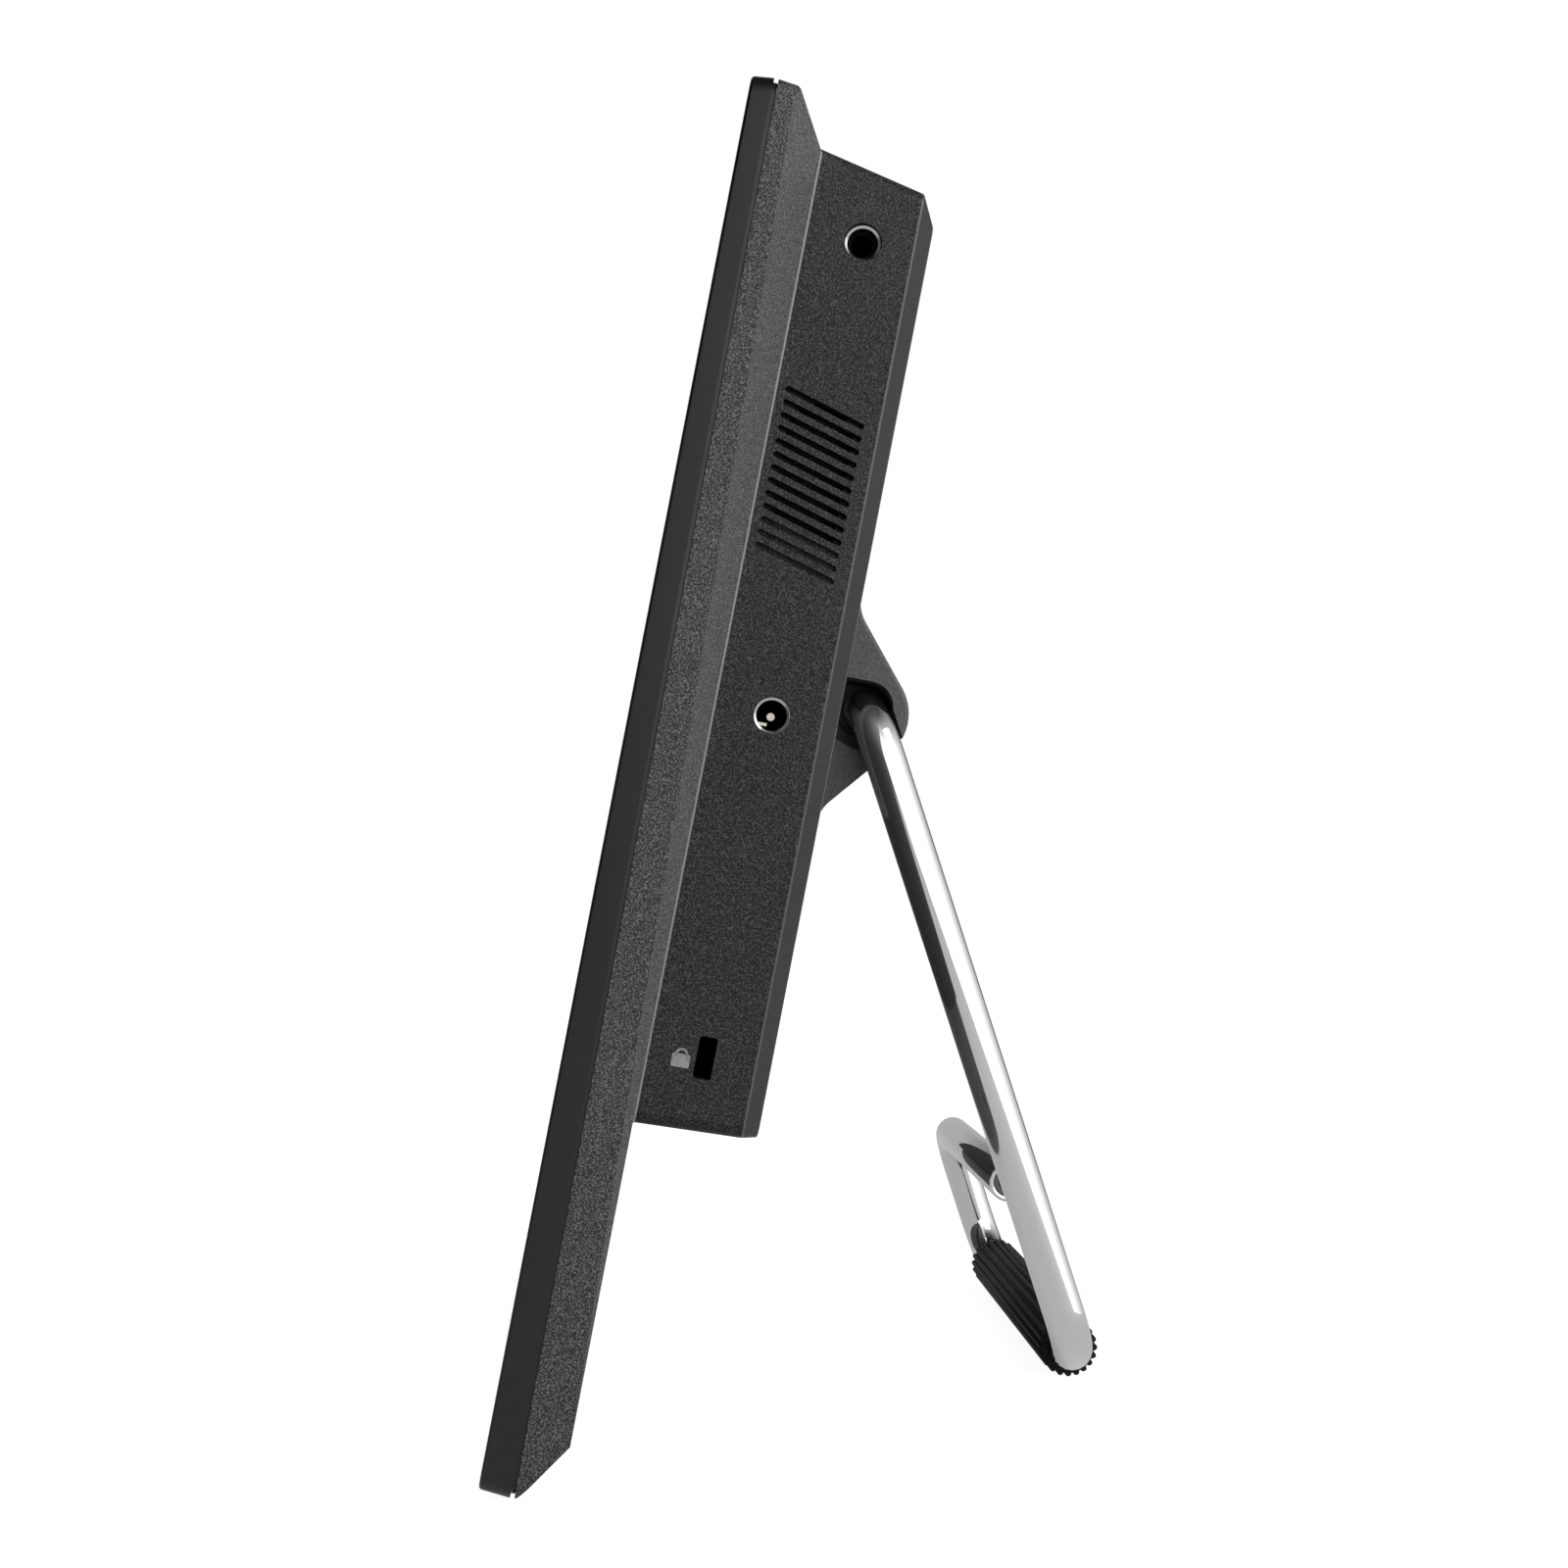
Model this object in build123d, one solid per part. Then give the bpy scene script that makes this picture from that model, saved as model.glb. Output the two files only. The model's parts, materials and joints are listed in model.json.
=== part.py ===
from build123d import *
import os
from math import cos, radians, sin, tan

# A digital photo frame that leans back on a folding stand of bent tube.
# The case is modelled upright: x runs across it, y runs from the front face to the back
# and z runs up from the bottom of the seam. It is then leaned back about x and set on its
# feet. The stand is modelled where it stands. All sizes are in millimetres and degrees.

# ---------------------------------------------------------------- driving sizes
# Screen, and the case outline around it
screen_width = 211.2
screen_height = 158.4
side_border = 37.4
end_border = 36.0
corner_radius = 3.6
lean = 10.95
foot_lift = 0.25
foot_x = 96.0
foot_length = 24.0

# Front bezel
seam_depth_top = 3.6
seam_depth_bottom = 5.2
bezel_flare = 4.2
bezel_face = 2.5
bezel_edge_radius = 0.6
screen_reveal = 1.2
window_chamfer = 1.4
seam_groove = 0.75
groove_depth = 0.7
tongue_length = 2.4
fit_gap = 0.1

# Rear housing: the tapering cover, then the box that stands out of it
wall = 2.2
panel_depth = 13.1
cover_draft = 5.5
ridge_depth_top = 7.3
top_slope_drop = 8.3
box_above_slope = 0.9
side_slope_inset = 7.4
bottom_slope_start = 6.0
bottom_slope_rise = 10.3
box_bottom = 61.8
box_side_margin = 8.0
rim_bevel_depth = 2.7
back_depth = 33.8
box_side_draft = 2.0
box_top_draft = 3.4
box_bottom_draft = 0.6
rim_bevel_side = 4.0
rim_bevel_top = 3.9
rim_bevel_bottom = 0.2
box_corner_top = 2.6
box_corner_bottom = 2.4

# Features of the box sides
feature_depth = 22.7
upper_socket_drop = 13.85
lower_socket_drop = 92.05
socket_hole_radius = 3.05
socket_mouth_radius = 2.6
socket_recess = 0.9
slot_count = 13
open_slot_count = 10
slot_length = 14.2
slot_width = 1.0
slot_tilt = 15.0
slot_pitch = 2.14
first_slot_drop = 41.45
slot_middle_depth = 21.7
blind_slot_depth = 0.7
lock_width = 3.0
lock_height = 7.0
lock_above_box = 12.5
lock_plate_thickness = 1.5
card_slot_height = 25.0
card_slot_width = 3.0
usb_slot_height = 13.2
usb_slot_width = 5.6
card_slot_above_box = 46.0
usb_slot_above_box = 20.0

# Hinge cover on the back
pivot_drop = 81.05
pivot_standoff = 9.4
hump_radius = 10.0
hump_slope = 40.0
hump_inset = 1.65
hump_drop = 1.6
pad_height = 4.1
pad_margin = 2.0
pad_edge_radius = 1.2
hump_foot_radius = 8.0
hump_half_width = 60.0
hump_wall = 1.5
flange_thickness = 1.2
flange_margin = 3.0
hump_edge_radius = 0.8
recess_deep_x = 45.0
recess_step_x = 55.0
recess_above_pivot = 5.0
recess_below_pivot = 5.0
recess_round = 2.0
leg_clearance = 0.6

# Stand of bent tube
stand_angle = 17.85
tube_radius = 4.0
tube_wall = 1.0
bend_radius = 10.0
leg_x = 61.0
tube_inner_end = 8.0
return_rise = 32.7
return_end = 37.0
sleeve_half_length = 50.0
sleeve_root_radius = 5.15
sleeve_rib_radius = 0.65
sleeve_rib_count = 20
running_gap = 0.06

# Hinge inside the hump
ear_thickness = 1.5
left_ear_x = 12.0
right_ear_x = 34.5
ear_radius = 6.0
bracket_thickness = 1.5
bush_radius = 4.9
bush_flange = 1.0
bush_flange_radius = 5.9
collar_x = 20.0
collar_length = 9.0
collar_radius = 5.9
lug_reach = 10.4
lug_thickness = 4.0
tab_thickness = 1.5
ring_thickness = 1.0
hinge_screw_x = (-50.0, 30.0)
hinge_screw_rise = 15.7

# Display, boards and what they carry
panel_border_x = 8.4
panel_border_z = 6.8
glass_thickness = 1.8
frame_sheet = 0.6
module_depth = 6.0
plate_thickness = 1.0
plate_gap = 0.4
plate_margin = 15.0
board_thickness = 1.6
board_corner = 6.0
main_board_gaps = (3.9, 15.9)
main_board_height = 84.0
main_board_drop = 26.35
side_board_length = 23.0
cable_x = (10.0, 34.0)
cable_window = 7.0
inverter_x = (-60.0, 44.0)
inverter_height = 20.0
board_rise = 8.0
standoff_height = 8.0
standoff_radius = 2.5
post_radius = 3.5
post_from_side = 43.0
post_top_drop = 22.7
post_bottom_rise = 21.0
well_radius = 4.5
web_depth = 8.4
web_thickness = 2.2
pilot_radius = 1.3
screw_head_radius = 2.6
screw_head_height = 1.7

# Buttons
button_spacing = 20.0
button_length = 12.0
button_height = 6.0
power_button_radius = 3.6
power_button_x = -70.0
button_gap = 0.25
button_travel = 0.8
button_flange = 1.0
button_flange_thickness = 1.2
button_drop = 20.65
button_board_reach = (15.0, 21.0)
button_post_reach = (10.0, 16.0)
button_board_half_height = 6.0
switch_height = 3.6
switch_size = 6.0

# ---------------------------------------------------------------- sizes that follow
frame_width = screen_width + 2 * side_border
frame_height = screen_height + 2 * end_border
half_width = frame_width / 2
post_x = half_width - post_from_side
screen_z = frame_height / 2
box_half_width = half_width - box_side_margin
slope_top = frame_height - top_slope_drop
box_top = slope_top + box_above_slope
rim_depth = back_depth - rim_bevel_depth
seam_depth_middle = (seam_depth_top + seam_depth_bottom) / 2
pivot_z = box_top - pivot_drop
pivot_depth = back_depth + pivot_standoff
hump_z = pivot_z - hump_drop
hump_depth = pivot_depth - hump_inset
pad_depth = back_depth + pad_height
button_z = box_top - button_drop
fold_angle = stand_angle + lean
sleeve_radius = sleeve_root_radius + sleeve_rib_radius
plate_depth = bezel_face + fit_gap + module_depth + plate_gap
plate_back = plate_depth + plate_thickness
board_depth = plate_back + standoff_height
board_back = board_depth + board_thickness
back_inside = back_depth - wall
button_flange_back = back_inside - fit_gap / 2
button_stem_front = button_flange_back - button_flange_thickness
button_board_back = button_stem_front - button_travel - fit_gap - switch_height

lift = foot_lift + bottom_slope_start * sin(radians(lean))
pivot_height = lift - pivot_depth * sin(radians(lean)) + pivot_z * cos(radians(lean))
leg_length = (pivot_height - sleeve_radius) / cos(radians(stand_angle))
pivot_reach = pivot_depth * cos(radians(lean)) + pivot_z * sin(radians(lean))
full_reach = pivot_reach + leg_length * sin(radians(stand_angle)) + sleeve_radius
front_corner_rise = seam_depth_bottom * tan(radians(bezel_flare))
front_y = -(full_reach + front_corner_rise * sin(radians(lean))) / 2
pivot_y = front_y + pivot_reach

case_place = Pos(0, front_y, lift) * Rot(-lean, 0, 0)


# ---------------------------------------------------------------- small helpers
def block(x, y, z):
    """A box between two limits along each direction."""
    spans = (x, y, z)
    middle = [(low + high) / 2 for low, high in spans]
    return Pos(*middle) * Box(*[high - low for low, high in spans])


def rod_y(x, z, start, end, radius):
    """A round bar along y."""
    return Pos(x, (start + end) / 2, z) * Rot(90, 0, 0) * Cylinder(radius, end - start)


def rod_x(y, z, start, end, radius):
    """A round bar along x."""
    return Pos((start + end) / 2, y, z) * Rot(0, 90, 0) * Cylinder(radius, end - start)


def disc_x(y, z, start, end, radius, bore):
    """A round washer or bush along x."""
    return rod_x(y, z, start, end, radius) - rod_x(y, z, start - 1, end + 1, bore)


def outline(depth, half, low, high, top_radius, bottom_radius):
    """A rounded rectangle, symmetric about x = 0, that stands at one depth."""
    shape = Rectangle(2 * half, high - low)
    rows = shape.vertices().group_by(Axis.Y)
    shape = fillet(rows[0], bottom_radius)
    shape = fillet(shape.vertices().group_by(Axis.Y)[-1], top_radius)
    return Plane.XZ.offset(-depth) * Pos(0, (low + high) / 2) * shape


def keep_inside(shape, points, inset=0.0):
    """Cut by the plane through three points, moved inwards, and keep the case's middle."""
    first, second, third = (Vector(*point) for point in points)
    normal = (second - first).cross(third - first).normalized()
    middle = Vector(0, 0, screen_z)
    if normal.dot(middle - first) > 0:
        normal = -normal
    return split(shape, bisect_by=Plane(origin=first - normal * inset, z_dir=normal), keep=Keep.BOTTOM)


def seam_plane(shift):
    """The seam's plane, facing the back, moved back by a shift."""
    slope = seam_depth_top - seam_depth_bottom
    return Plane(origin=(0, seam_depth_bottom + shift, 0), z_dir=(0, frame_height, -slope))


def ahead_of(shape, plane):
    return split(shape, bisect_by=plane, keep=Keep.BOTTOM)


def behind(shape, plane):
    return split(shape, bisect_by=plane, keep=Keep.TOP)


# ---------------------------------------------------------------- forms of the case
def bezel_form(inset, front, back):
    """The bezel's outside, which widens towards the seam, shrunk by an inset."""
    def section(depth):
        side = half_width + (depth - seam_depth_middle) * tan(radians(bezel_flare))
        low = (seam_depth_bottom - depth) * tan(radians(bezel_flare))
        high = frame_height + (depth - seam_depth_top) * tan(radians(bezel_flare))
        radius = corner_radius - inset
        return outline(depth, side - inset, low + inset, high - inset, radius, radius)
    return loft([section(front), section(back)], ruled=True)


def cover_form(inset, front):
    """The rear cover's outside up to its flat panel, shrunk by an inset."""
    back = panel_depth - inset
    draft = tan(radians(cover_draft))

    def side_at(depth):
        return half_width - (depth - seam_depth_middle) * draft

    def top_at(depth):
        return frame_height - (depth - seam_depth_top) * draft

    def section(depth):
        radius = corner_radius - inset
        return outline(depth, side_at(depth) - inset, inset, top_at(depth) - inset, radius, radius)

    form = loft([section(front), section(back)], ruled=True)
    bottom_front = (0, bottom_slope_start, 0)
    bottom_back = (0, panel_depth, bottom_slope_rise)
    form = keep_inside(form, (bottom_front, bottom_back, (1, panel_depth, bottom_slope_rise)), inset)
    top_front = (0, ridge_depth_top, top_at(ridge_depth_top))
    form = keep_inside(form, (top_front, (0, panel_depth, slope_top), (1, panel_depth, slope_top)), inset)
    for side in (-1, 1):
        ridge_top = (side * side_at(ridge_depth_top), ridge_depth_top, top_at(ridge_depth_top))
        ridge_bottom = (side * side_at(panel_depth), panel_depth, bottom_slope_rise)
        panel_corner = (side * (side_at(ridge_depth_top) - side_slope_inset), panel_depth, slope_top)
        form = keep_inside(form, (ridge_top, ridge_bottom, panel_corner), inset)
    return form


def box_section(depth, inset):
    """The raised box's outline at a depth between its base and its rim, shrunk by an inset."""
    share = (depth - panel_depth) / (rim_depth - panel_depth)
    side = box_half_at(depth)
    low = box_bottom + share * box_bottom_draft
    high = box_top - share * box_top_draft
    return outline(depth, side - inset, low + inset, high - inset, box_corner_top - inset / 2,
                   box_corner_bottom - inset / 2)


def box_half_at(depth):
    """Half the raised box's width at a depth between its base and its rim."""
    return box_half_width - (depth - panel_depth) / (rim_depth - panel_depth) * box_side_draft


def box_form(inset, front, back):
    """The raised box's outside, shrunk by an inset, from a front depth to the back."""
    side = box_half_at(rim_depth) - rim_bevel_side
    low = box_bottom + box_bottom_draft + rim_bevel_bottom
    high = box_top - box_top_draft - rim_bevel_top
    last = outline(back, side - inset, low + inset, high - inset, box_corner_top - inset / 2,
                   box_corner_bottom - inset / 2)
    return loft([box_section(front, inset), box_section(rim_depth, inset), last], ruled=True)


def box_inside(gap, front, x, y, z):
    """What a block shares with the inside of the box, a gap away from its walls."""
    return box_form(wall + gap, front, back_inside - gap) & block(x, y, z)


# ---------------------------------------------------------------- bezel and screen
def screen_rectangle(margin_x, margin_z):
    return Rectangle(screen_width + 2 * margin_x, screen_height + 2 * margin_z)


def slab(sketch, front, back):
    """A flat piece with a given outline about the screen's centre."""
    return extrude(Plane.XZ.offset(-front) * Pos(0, screen_z) * sketch, back - front, dir=(0, 1, 0))


def post_places():
    """Centres of the four posts that the housing screws enter."""
    top = frame_height - post_top_drop
    return [(x, z) for z in (post_bottom_rise, top) for x in (-post_x, post_x)]


def plate_screw_places():
    """Centres of the four posts that carry the chassis plate."""
    x = screen_width / 2 + plate_margin
    return [(side * x, z) for z in (box_bottom + 12, box_top - 32) for side in (-1, 1)]


def make_front_bezel():
    shell = ahead_of(bezel_form(0, 0, panel_depth), seam_plane(0))
    shell = fillet(shell.edges().group_by(Axis.Y)[0], bezel_edge_radius)
    shell -= bezel_form(wall, bezel_face, panel_depth)
    tongue = cover_form(groove_depth, 0) - cover_form(wall, -1)
    tongue = behind(ahead_of(tongue, seam_plane(seam_groove + tongue_length)), seam_plane(0))
    shell += tongue
    window = slab(screen_rectangle(screen_reveal, screen_reveal), -1, bezel_face + 1)
    face_window = Plane.XZ * Pos(0, screen_z) * screen_rectangle(
        screen_reveal + window_chamfer, screen_reveal + window_chamfer)
    deep_window = Plane.XZ.offset(-window_chamfer) * Pos(0, screen_z) * screen_rectangle(
        screen_reveal, screen_reveal)
    shell -= window + loft([face_window, deep_window], ruled=True)
    for x, z in post_places():
        shell += rod_y(x, z, bezel_face, web_depth - fit_gap, post_radius)
        shell -= rod_y(x, z, bezel_face + 0.5, web_depth, pilot_radius + 0.02)
    for x, z in plate_screw_places():
        shell += rod_y(x, z, bezel_face, plate_depth, post_radius)
        shell -= rod_y(x, z, bezel_face + 0.5, plate_depth + 1, pilot_radius + 0.02)
    return shell


def make_screen():
    """Glass panel, steel frame around it, and the backlight behind it."""
    front = bezel_face + fit_gap
    back = front + module_depth
    glass_front = front + frame_sheet + fit_gap / 2
    glass_back = glass_front + glass_thickness
    inner_x = panel_border_x - frame_sheet - fit_gap
    inner_z = panel_border_z - frame_sheet - fit_gap
    frame = slab(screen_rectangle(panel_border_x, panel_border_z), front, back)
    frame -= slab(screen_rectangle(inner_x + fit_gap, inner_z + fit_gap), front + frame_sheet, back + 1)
    frame -= slab(screen_rectangle(screen_reveal + 0.6, screen_reveal + 0.6), front - 1, back)
    glass = slab(screen_rectangle(inner_x, inner_z), glass_front, glass_back)
    light = slab(screen_rectangle(inner_x, inner_z), glass_back + fit_gap / 2, back)
    return {"lcd_frame": frame, "lcd_glass": glass, "backlight_unit": light}


def make_chassis_plate():
    """Steel plate behind the screen, with the stand-offs that carry the boards."""
    half = screen_width / 2 + plate_margin + 6
    low = post_bottom_rise + well_radius + 1.5
    plate = block((-half, half), (plate_depth, plate_back), (low, box_top - 9))
    for x, z in post_places()[2:]:
        plate -= rod_y(x, z, plate_depth - 1, plate_back + 1, well_radius + 0.5)
    for x, z in plate_screw_places():
        plate -= rod_y(x, z, plate_depth - 1, plate_back + 1, pilot_radius + 0.3)
    plate -= block(cable_x, (plate_depth - 1, plate_back + 1), cable_window_z)
    for x, z in board_screw_places():
        plate += rod_y(x, z, plate_back, board_depth, standoff_radius)
        plate -= rod_y(x, z, plate_back + 1, board_depth + 1, pilot_radius + 0.02)
    return plate


# ---------------------------------------------------------------- rear housing
def screw_well(x, z, mouth):
    """The tube of one screw well, closed by a web that the screw's head sits on."""
    tube = rod_y(x, z, web_depth, mouth, well_radius)
    bore = rod_y(x, z, web_depth + web_thickness, mouth + 1, screw_head_radius + 0.5)
    return tube, bore + rod_y(x, z, web_depth - 1, mouth, pilot_radius + 0.3)


def vent_slot(index, side, depth):
    """One slanted vent slot, cut from the outside inwards to a depth in the wall."""
    outer = box_half_at(slot_middle_depth)
    z = box_top - first_slot_drop - index * slot_pitch
    sketch = Plane.YZ * Pos(slot_middle_depth, z) * Rot(0, 0, -slot_tilt) * SlotOverall(
        slot_length, slot_width)
    low, high = outer - depth, outer + 3
    if side < 0:
        low, high = -high, -low
    return extrude(Pos(low, 0, 0) * sketch, high - low, dir=(1, 0, 0))


def button_places():
    """Name, centre and outline of each button on the back."""
    names = ("menu_button", "previous_button", "select_button", "next_button", "back_button")
    places = []
    for index, name in enumerate(names):
        x = (index - (len(names) - 1) / 2) * button_spacing
        places.append((name, x, button_length, button_height))
    places.append(("power_button", power_button_x, 2 * power_button_radius, 2 * power_button_radius))
    return places


def button_bar(x, length, height, grow, front, back):
    """A button-shaped bar along y: a slot outline, or a circle when it is as long as high."""
    if length > height:
        sketch = SlotOverall(length + 2 * grow, height + 2 * grow)
    else:
        sketch = Circle(height / 2 + grow)
    return extrude(Plane.XZ.offset(-front) * Pos(x, button_z) * sketch, back - front, dir=(0, 1, 0))


def lock_z():
    return box_bottom + lock_above_box


def hump_run(radius, depth):
    """Half the hump's height where its slopes reach a depth."""
    slope = radians(hump_slope)
    return radius * sin(slope) + (hump_depth + radius * cos(slope) - depth) / tan(slope)


def pad_half():
    """Half the height of the pad that the hump stands on."""
    return hump_run(hump_radius, pad_depth) + hump_foot_radius * tan(radians(hump_slope) / 2) + pad_margin


def flange_span():
    """Low and high ends of the hinge cover's flange."""
    half = pad_half() + flange_margin
    return hump_z - half, hump_z + half


def flange_block(gap, front, back):
    low, high = flange_span()
    half = hump_half_width + flange_margin
    return block((-half - gap, half + gap), (front, back), (low - gap, high + gap))


def make_rear_housing():
    cover = behind(cover_form(0, 0), seam_plane(seam_groove))
    shell = cover + box_form(0, panel_depth - 3, back_depth)
    shell -= cover_form(wall, -1)
    shell -= box_form(wall, panel_depth - wall - 1, back_inside)
    rebate = ahead_of(cover_form(groove_depth - fit_gap, -1),
                      seam_plane(seam_groove + tongue_length + fit_gap))
    shell -= rebate
    for x, z in post_places():
        mouth = panel_depth if z < box_bottom else back_depth
        tube, bore = screw_well(x, z, mouth)
        shell = shell + tube - bore
    for side in (-1, 1):
        for index in range(slot_count):
            depth = 2 * wall if index < open_slot_count else blind_slot_depth
            shell -= vent_slot(index, side, depth)
    outer = half_width
    for drop in (upper_socket_drop, lower_socket_drop):
        shell -= rod_x(feature_depth, box_top - drop, outer - 20, outer, socket_hole_radius)
    lock = Plane.YZ.offset(outer - 20) * Pos(feature_depth, lock_z()) * RectangleRounded(
        lock_width, lock_height, 0.5)
    shell -= extrude(lock, 20, dir=(1, 0, 0))
    for rise, height, width, depth in side_ports():
        port = Plane.YZ.offset(-outer) * Pos(depth, box_bottom + rise) * RectangleRounded(
            width, height, 0.4)
        shell -= extrude(port, 20, dir=(1, 0, 0))
    for name, x, length, height in button_places():
        shell -= button_bar(x, length, height, button_gap, back_inside - 1, back_depth + 1)
    for x, z in button_post_places():
        shell += rod_y(x, z, button_board_back, back_inside + 0.5, standoff_radius)
        shell -= rod_y(x, z, button_board_back - 1, back_inside, 0.92)
    shell -= flange_block(fit_gap, back_depth - flange_thickness, back_depth + 1)
    shell -= block((left_ear_x - 3, recess_deep_x - 2), (back_inside - 1, back_depth),
                   (pivot_z - 9, pivot_z + 9))
    for x, z in hinge_screw_places():
        shell -= rod_y(x, z, back_inside - 1, back_depth, pilot_radius + 0.3)
    return shell


def side_ports():
    """Rise above the box's base, height, width and depth of each port on the far side."""
    card_depth = board_back + 2.2
    usb_depth = board_back + 3.6
    return ((card_slot_above_box, card_slot_height, card_slot_width, card_depth),
            (usb_slot_above_box, usb_slot_height, usb_slot_width, usb_depth))


def make_lock_plate():
    """Steel plate behind the security slot, with the same slot in it."""
    reach = wall + fit_gap / 2
    z = (lock_z() - 8, lock_z() + 8)
    y = (feature_depth - 6, feature_depth + 6)
    x = (box_half_width - 20, box_half_width)
    outer = box_form(reach, panel_depth - 1, back_inside) & block(x, y, z)
    plate = outer - box_form(reach + lock_plate_thickness, panel_depth - 2, back_inside)
    slot = Plane.YZ.offset(box_half_width - 20) * Pos(feature_depth, lock_z()) * RectangleRounded(
        lock_width, lock_height, 0.5)
    return plate - extrude(slot, 20, dir=(1, 0, 0))


# ---------------------------------------------------------------- hinge cover and hinge
def hump_profile(shrink, depth):
    """The hump's side outline in the y-z plane, down to a depth."""
    slope = radians(hump_slope)
    radius = hump_radius - shrink
    run = hump_run(radius, depth)
    tangent_y = hump_depth + radius * cos(slope)
    tangent_rise = radius * sin(slope)
    corners = [(depth, -run), (tangent_y, -tangent_rise), (tangent_y, tangent_rise), (depth, run)]
    wedge = make_face(Polyline(*[(y, hump_z + rise) for y, rise in corners], close=True))
    ahead = Pos(depth - radius, hump_z) * Rectangle(2 * radius, 2 * radius)
    return wedge + (Pos(hump_depth, hump_z) * Circle(radius) - ahead)


def leg_sweep(length, half_thickness):
    """The side outline that the leg passes over between folded and standing."""
    folded = Pos(pivot_depth, pivot_z) * Pos(0, -length / 2) * Rectangle(2 * half_thickness, length)
    standing = Pos(pivot_depth, pivot_z) * Rot(0, 0, fold_angle) * Pos(0, -length / 2) * Rectangle(
        2 * half_thickness, length)
    return make_hull(folded.edges() + standing.edges())


def hump_outside():
    """The hump on its pad: rounded feet, and a soft edge round each end face."""
    pad = Pos((back_depth + pad_depth) / 2, hump_z) * Rectangle(pad_height, 2 * pad_half())
    profile = hump_profile(0, pad_depth - pad_height / 2) + pad
    run = hump_run(hump_radius, pad_depth)
    feet = [vertex for vertex in profile.vertices()
            if abs(vertex.X - pad_depth) < 0.01 and abs(abs(vertex.Y - hump_z) - run) < 0.01]
    profile = fillet(feet, hump_foot_radius)
    rims = [vertex for vertex in profile.vertices()
            if abs(vertex.X - pad_depth) < 0.01 and abs(abs(vertex.Y - hump_z) - pad_half()) < 0.01]
    profile = fillet(rims, pad_edge_radius)
    body = extrude(Plane.YZ.offset(-hump_half_width) * profile, 2 * hump_half_width, dir=(1, 0, 0))
    ends = [edge for edge in body.edges()
            if edge.bounding_box().size.X < 0.01 and edge.center().Y > back_depth + 0.01]
    return fillet(ends, hump_edge_radius)


def make_hinge_cover():
    body = hump_outside() + flange_block(0, back_depth - flange_thickness, back_depth)
    hollow_start = -hump_half_width + hump_wall
    hollow_end = recess_deep_x - hump_wall
    inside = Plane.YZ.offset(hollow_start) * hump_profile(hump_wall, back_depth)
    body -= extrude(inside, hollow_end - hollow_start, dir=(1, 0, 0))
    body -= block((left_ear_x - 3, hollow_end), (back_depth - flange_thickness - 1, back_depth + 0.1),
                  (pivot_z - 9, pivot_z + 9))
    clear = tube_radius + leg_clearance
    slot = Pos((back_depth + pivot_depth) / 2, pivot_z + (recess_above_pivot - recess_below_pivot) / 2)
    deep = slot * Rectangle(pivot_depth - back_depth, recess_above_pivot + recess_below_pivot)
    deep += Pos(pivot_depth, pivot_z) * Circle(recess_above_pivot)
    deep += leg_sweep(recess_below_pivot + recess_round, clear)
    body -= extrude(Plane.YZ.offset(recess_deep_x) * deep, hump_half_width, dir=(1, 0, 0))
    reach = 4 * hump_radius
    step = leg_sweep(reach, clear)
    step += Pos((back_depth + pivot_depth) / 2, pivot_z - recess_below_pivot - reach / 2 + 1) * (
        Rectangle(pivot_depth - back_depth, reach))
    body -= extrude(Plane.YZ.offset(recess_step_x) * step, hump_half_width, dir=(1, 0, 0))
    body -= rod_x(pivot_depth, pivot_z, hollow_end - 1, recess_deep_x + 1, bush_radius + fit_gap / 2)
    full = Plane.YZ.offset(-half_width) * hump_profile(hump_wall / 2, back_depth)
    for x, z in hinge_screw_places():
        post = rod_y(x, z, back_depth - flange_thickness, pivot_depth, standoff_radius + 0.5)
        body += post & (extrude(full, frame_width, dir=(1, 0, 0))
                        + flange_block(0, back_depth - flange_thickness, back_depth))
        body -= rod_y(x, z, back_depth - flange_thickness - 1, back_depth + 4, pilot_radius + 0.02)
    return body


def hinge_screw_places():
    return [(x, pivot_z + rise) for x in hinge_screw_x for rise in (-hinge_screw_rise, hinge_screw_rise)]


def make_hinge_bracket():
    """Steel bracket with two ears that carry the bushes, and a tab that stops the stand."""
    back = back_inside - fit_gap / 2
    front = back - bracket_thickness
    margin = 5.0
    low_x = hinge_screw_x[0] - margin
    high_x = right_ear_x + ear_thickness + 4
    rise = hinge_screw_rise + margin
    bracket = block((low_x, high_x), (front, back), (pivot_z - rise, pivot_z + rise))
    for x in (left_ear_x, right_ear_x):
        ear = block((x, x + ear_thickness), (front, pivot_depth),
                    (pivot_z - ear_radius, pivot_z + ear_radius))
        ear += rod_x(pivot_depth, pivot_z, x, x + ear_thickness, ear_radius)
        bracket += ear
        bracket -= rod_x(pivot_depth, pivot_z, x - 1, x + ear_thickness + 1, bush_radius + 0.02)
    tab_top = pivot_z - lug_thickness / 2 - fit_gap / 2
    bracket += block((collar_x + 1, collar_x + collar_length - 1),
                     (back, pivot_depth - collar_radius - 0.4), (tab_top - tab_thickness, tab_top))
    for x, z in hinge_screw_places():
        bracket -= rod_y(x, z, front - 1, back + 1, pilot_radius + 0.3)
    return bracket


def make_hinge_bushes():
    bore = tube_radius + running_gap
    left = disc_x(pivot_depth, pivot_z, left_ear_x - 1.5, left_ear_x + ear_thickness, bush_radius, bore)
    left += disc_x(pivot_depth, pivot_z, left_ear_x + ear_thickness,
                   left_ear_x + ear_thickness + bush_flange, bush_flange_radius, bore)
    right = disc_x(pivot_depth, pivot_z, right_ear_x, recess_deep_x + 1.5, bush_radius, bore)
    right += disc_x(pivot_depth, pivot_z, right_ear_x - bush_flange, right_ear_x, bush_flange_radius, bore)
    return Compound([left.solid(), right.solid()])


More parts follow.
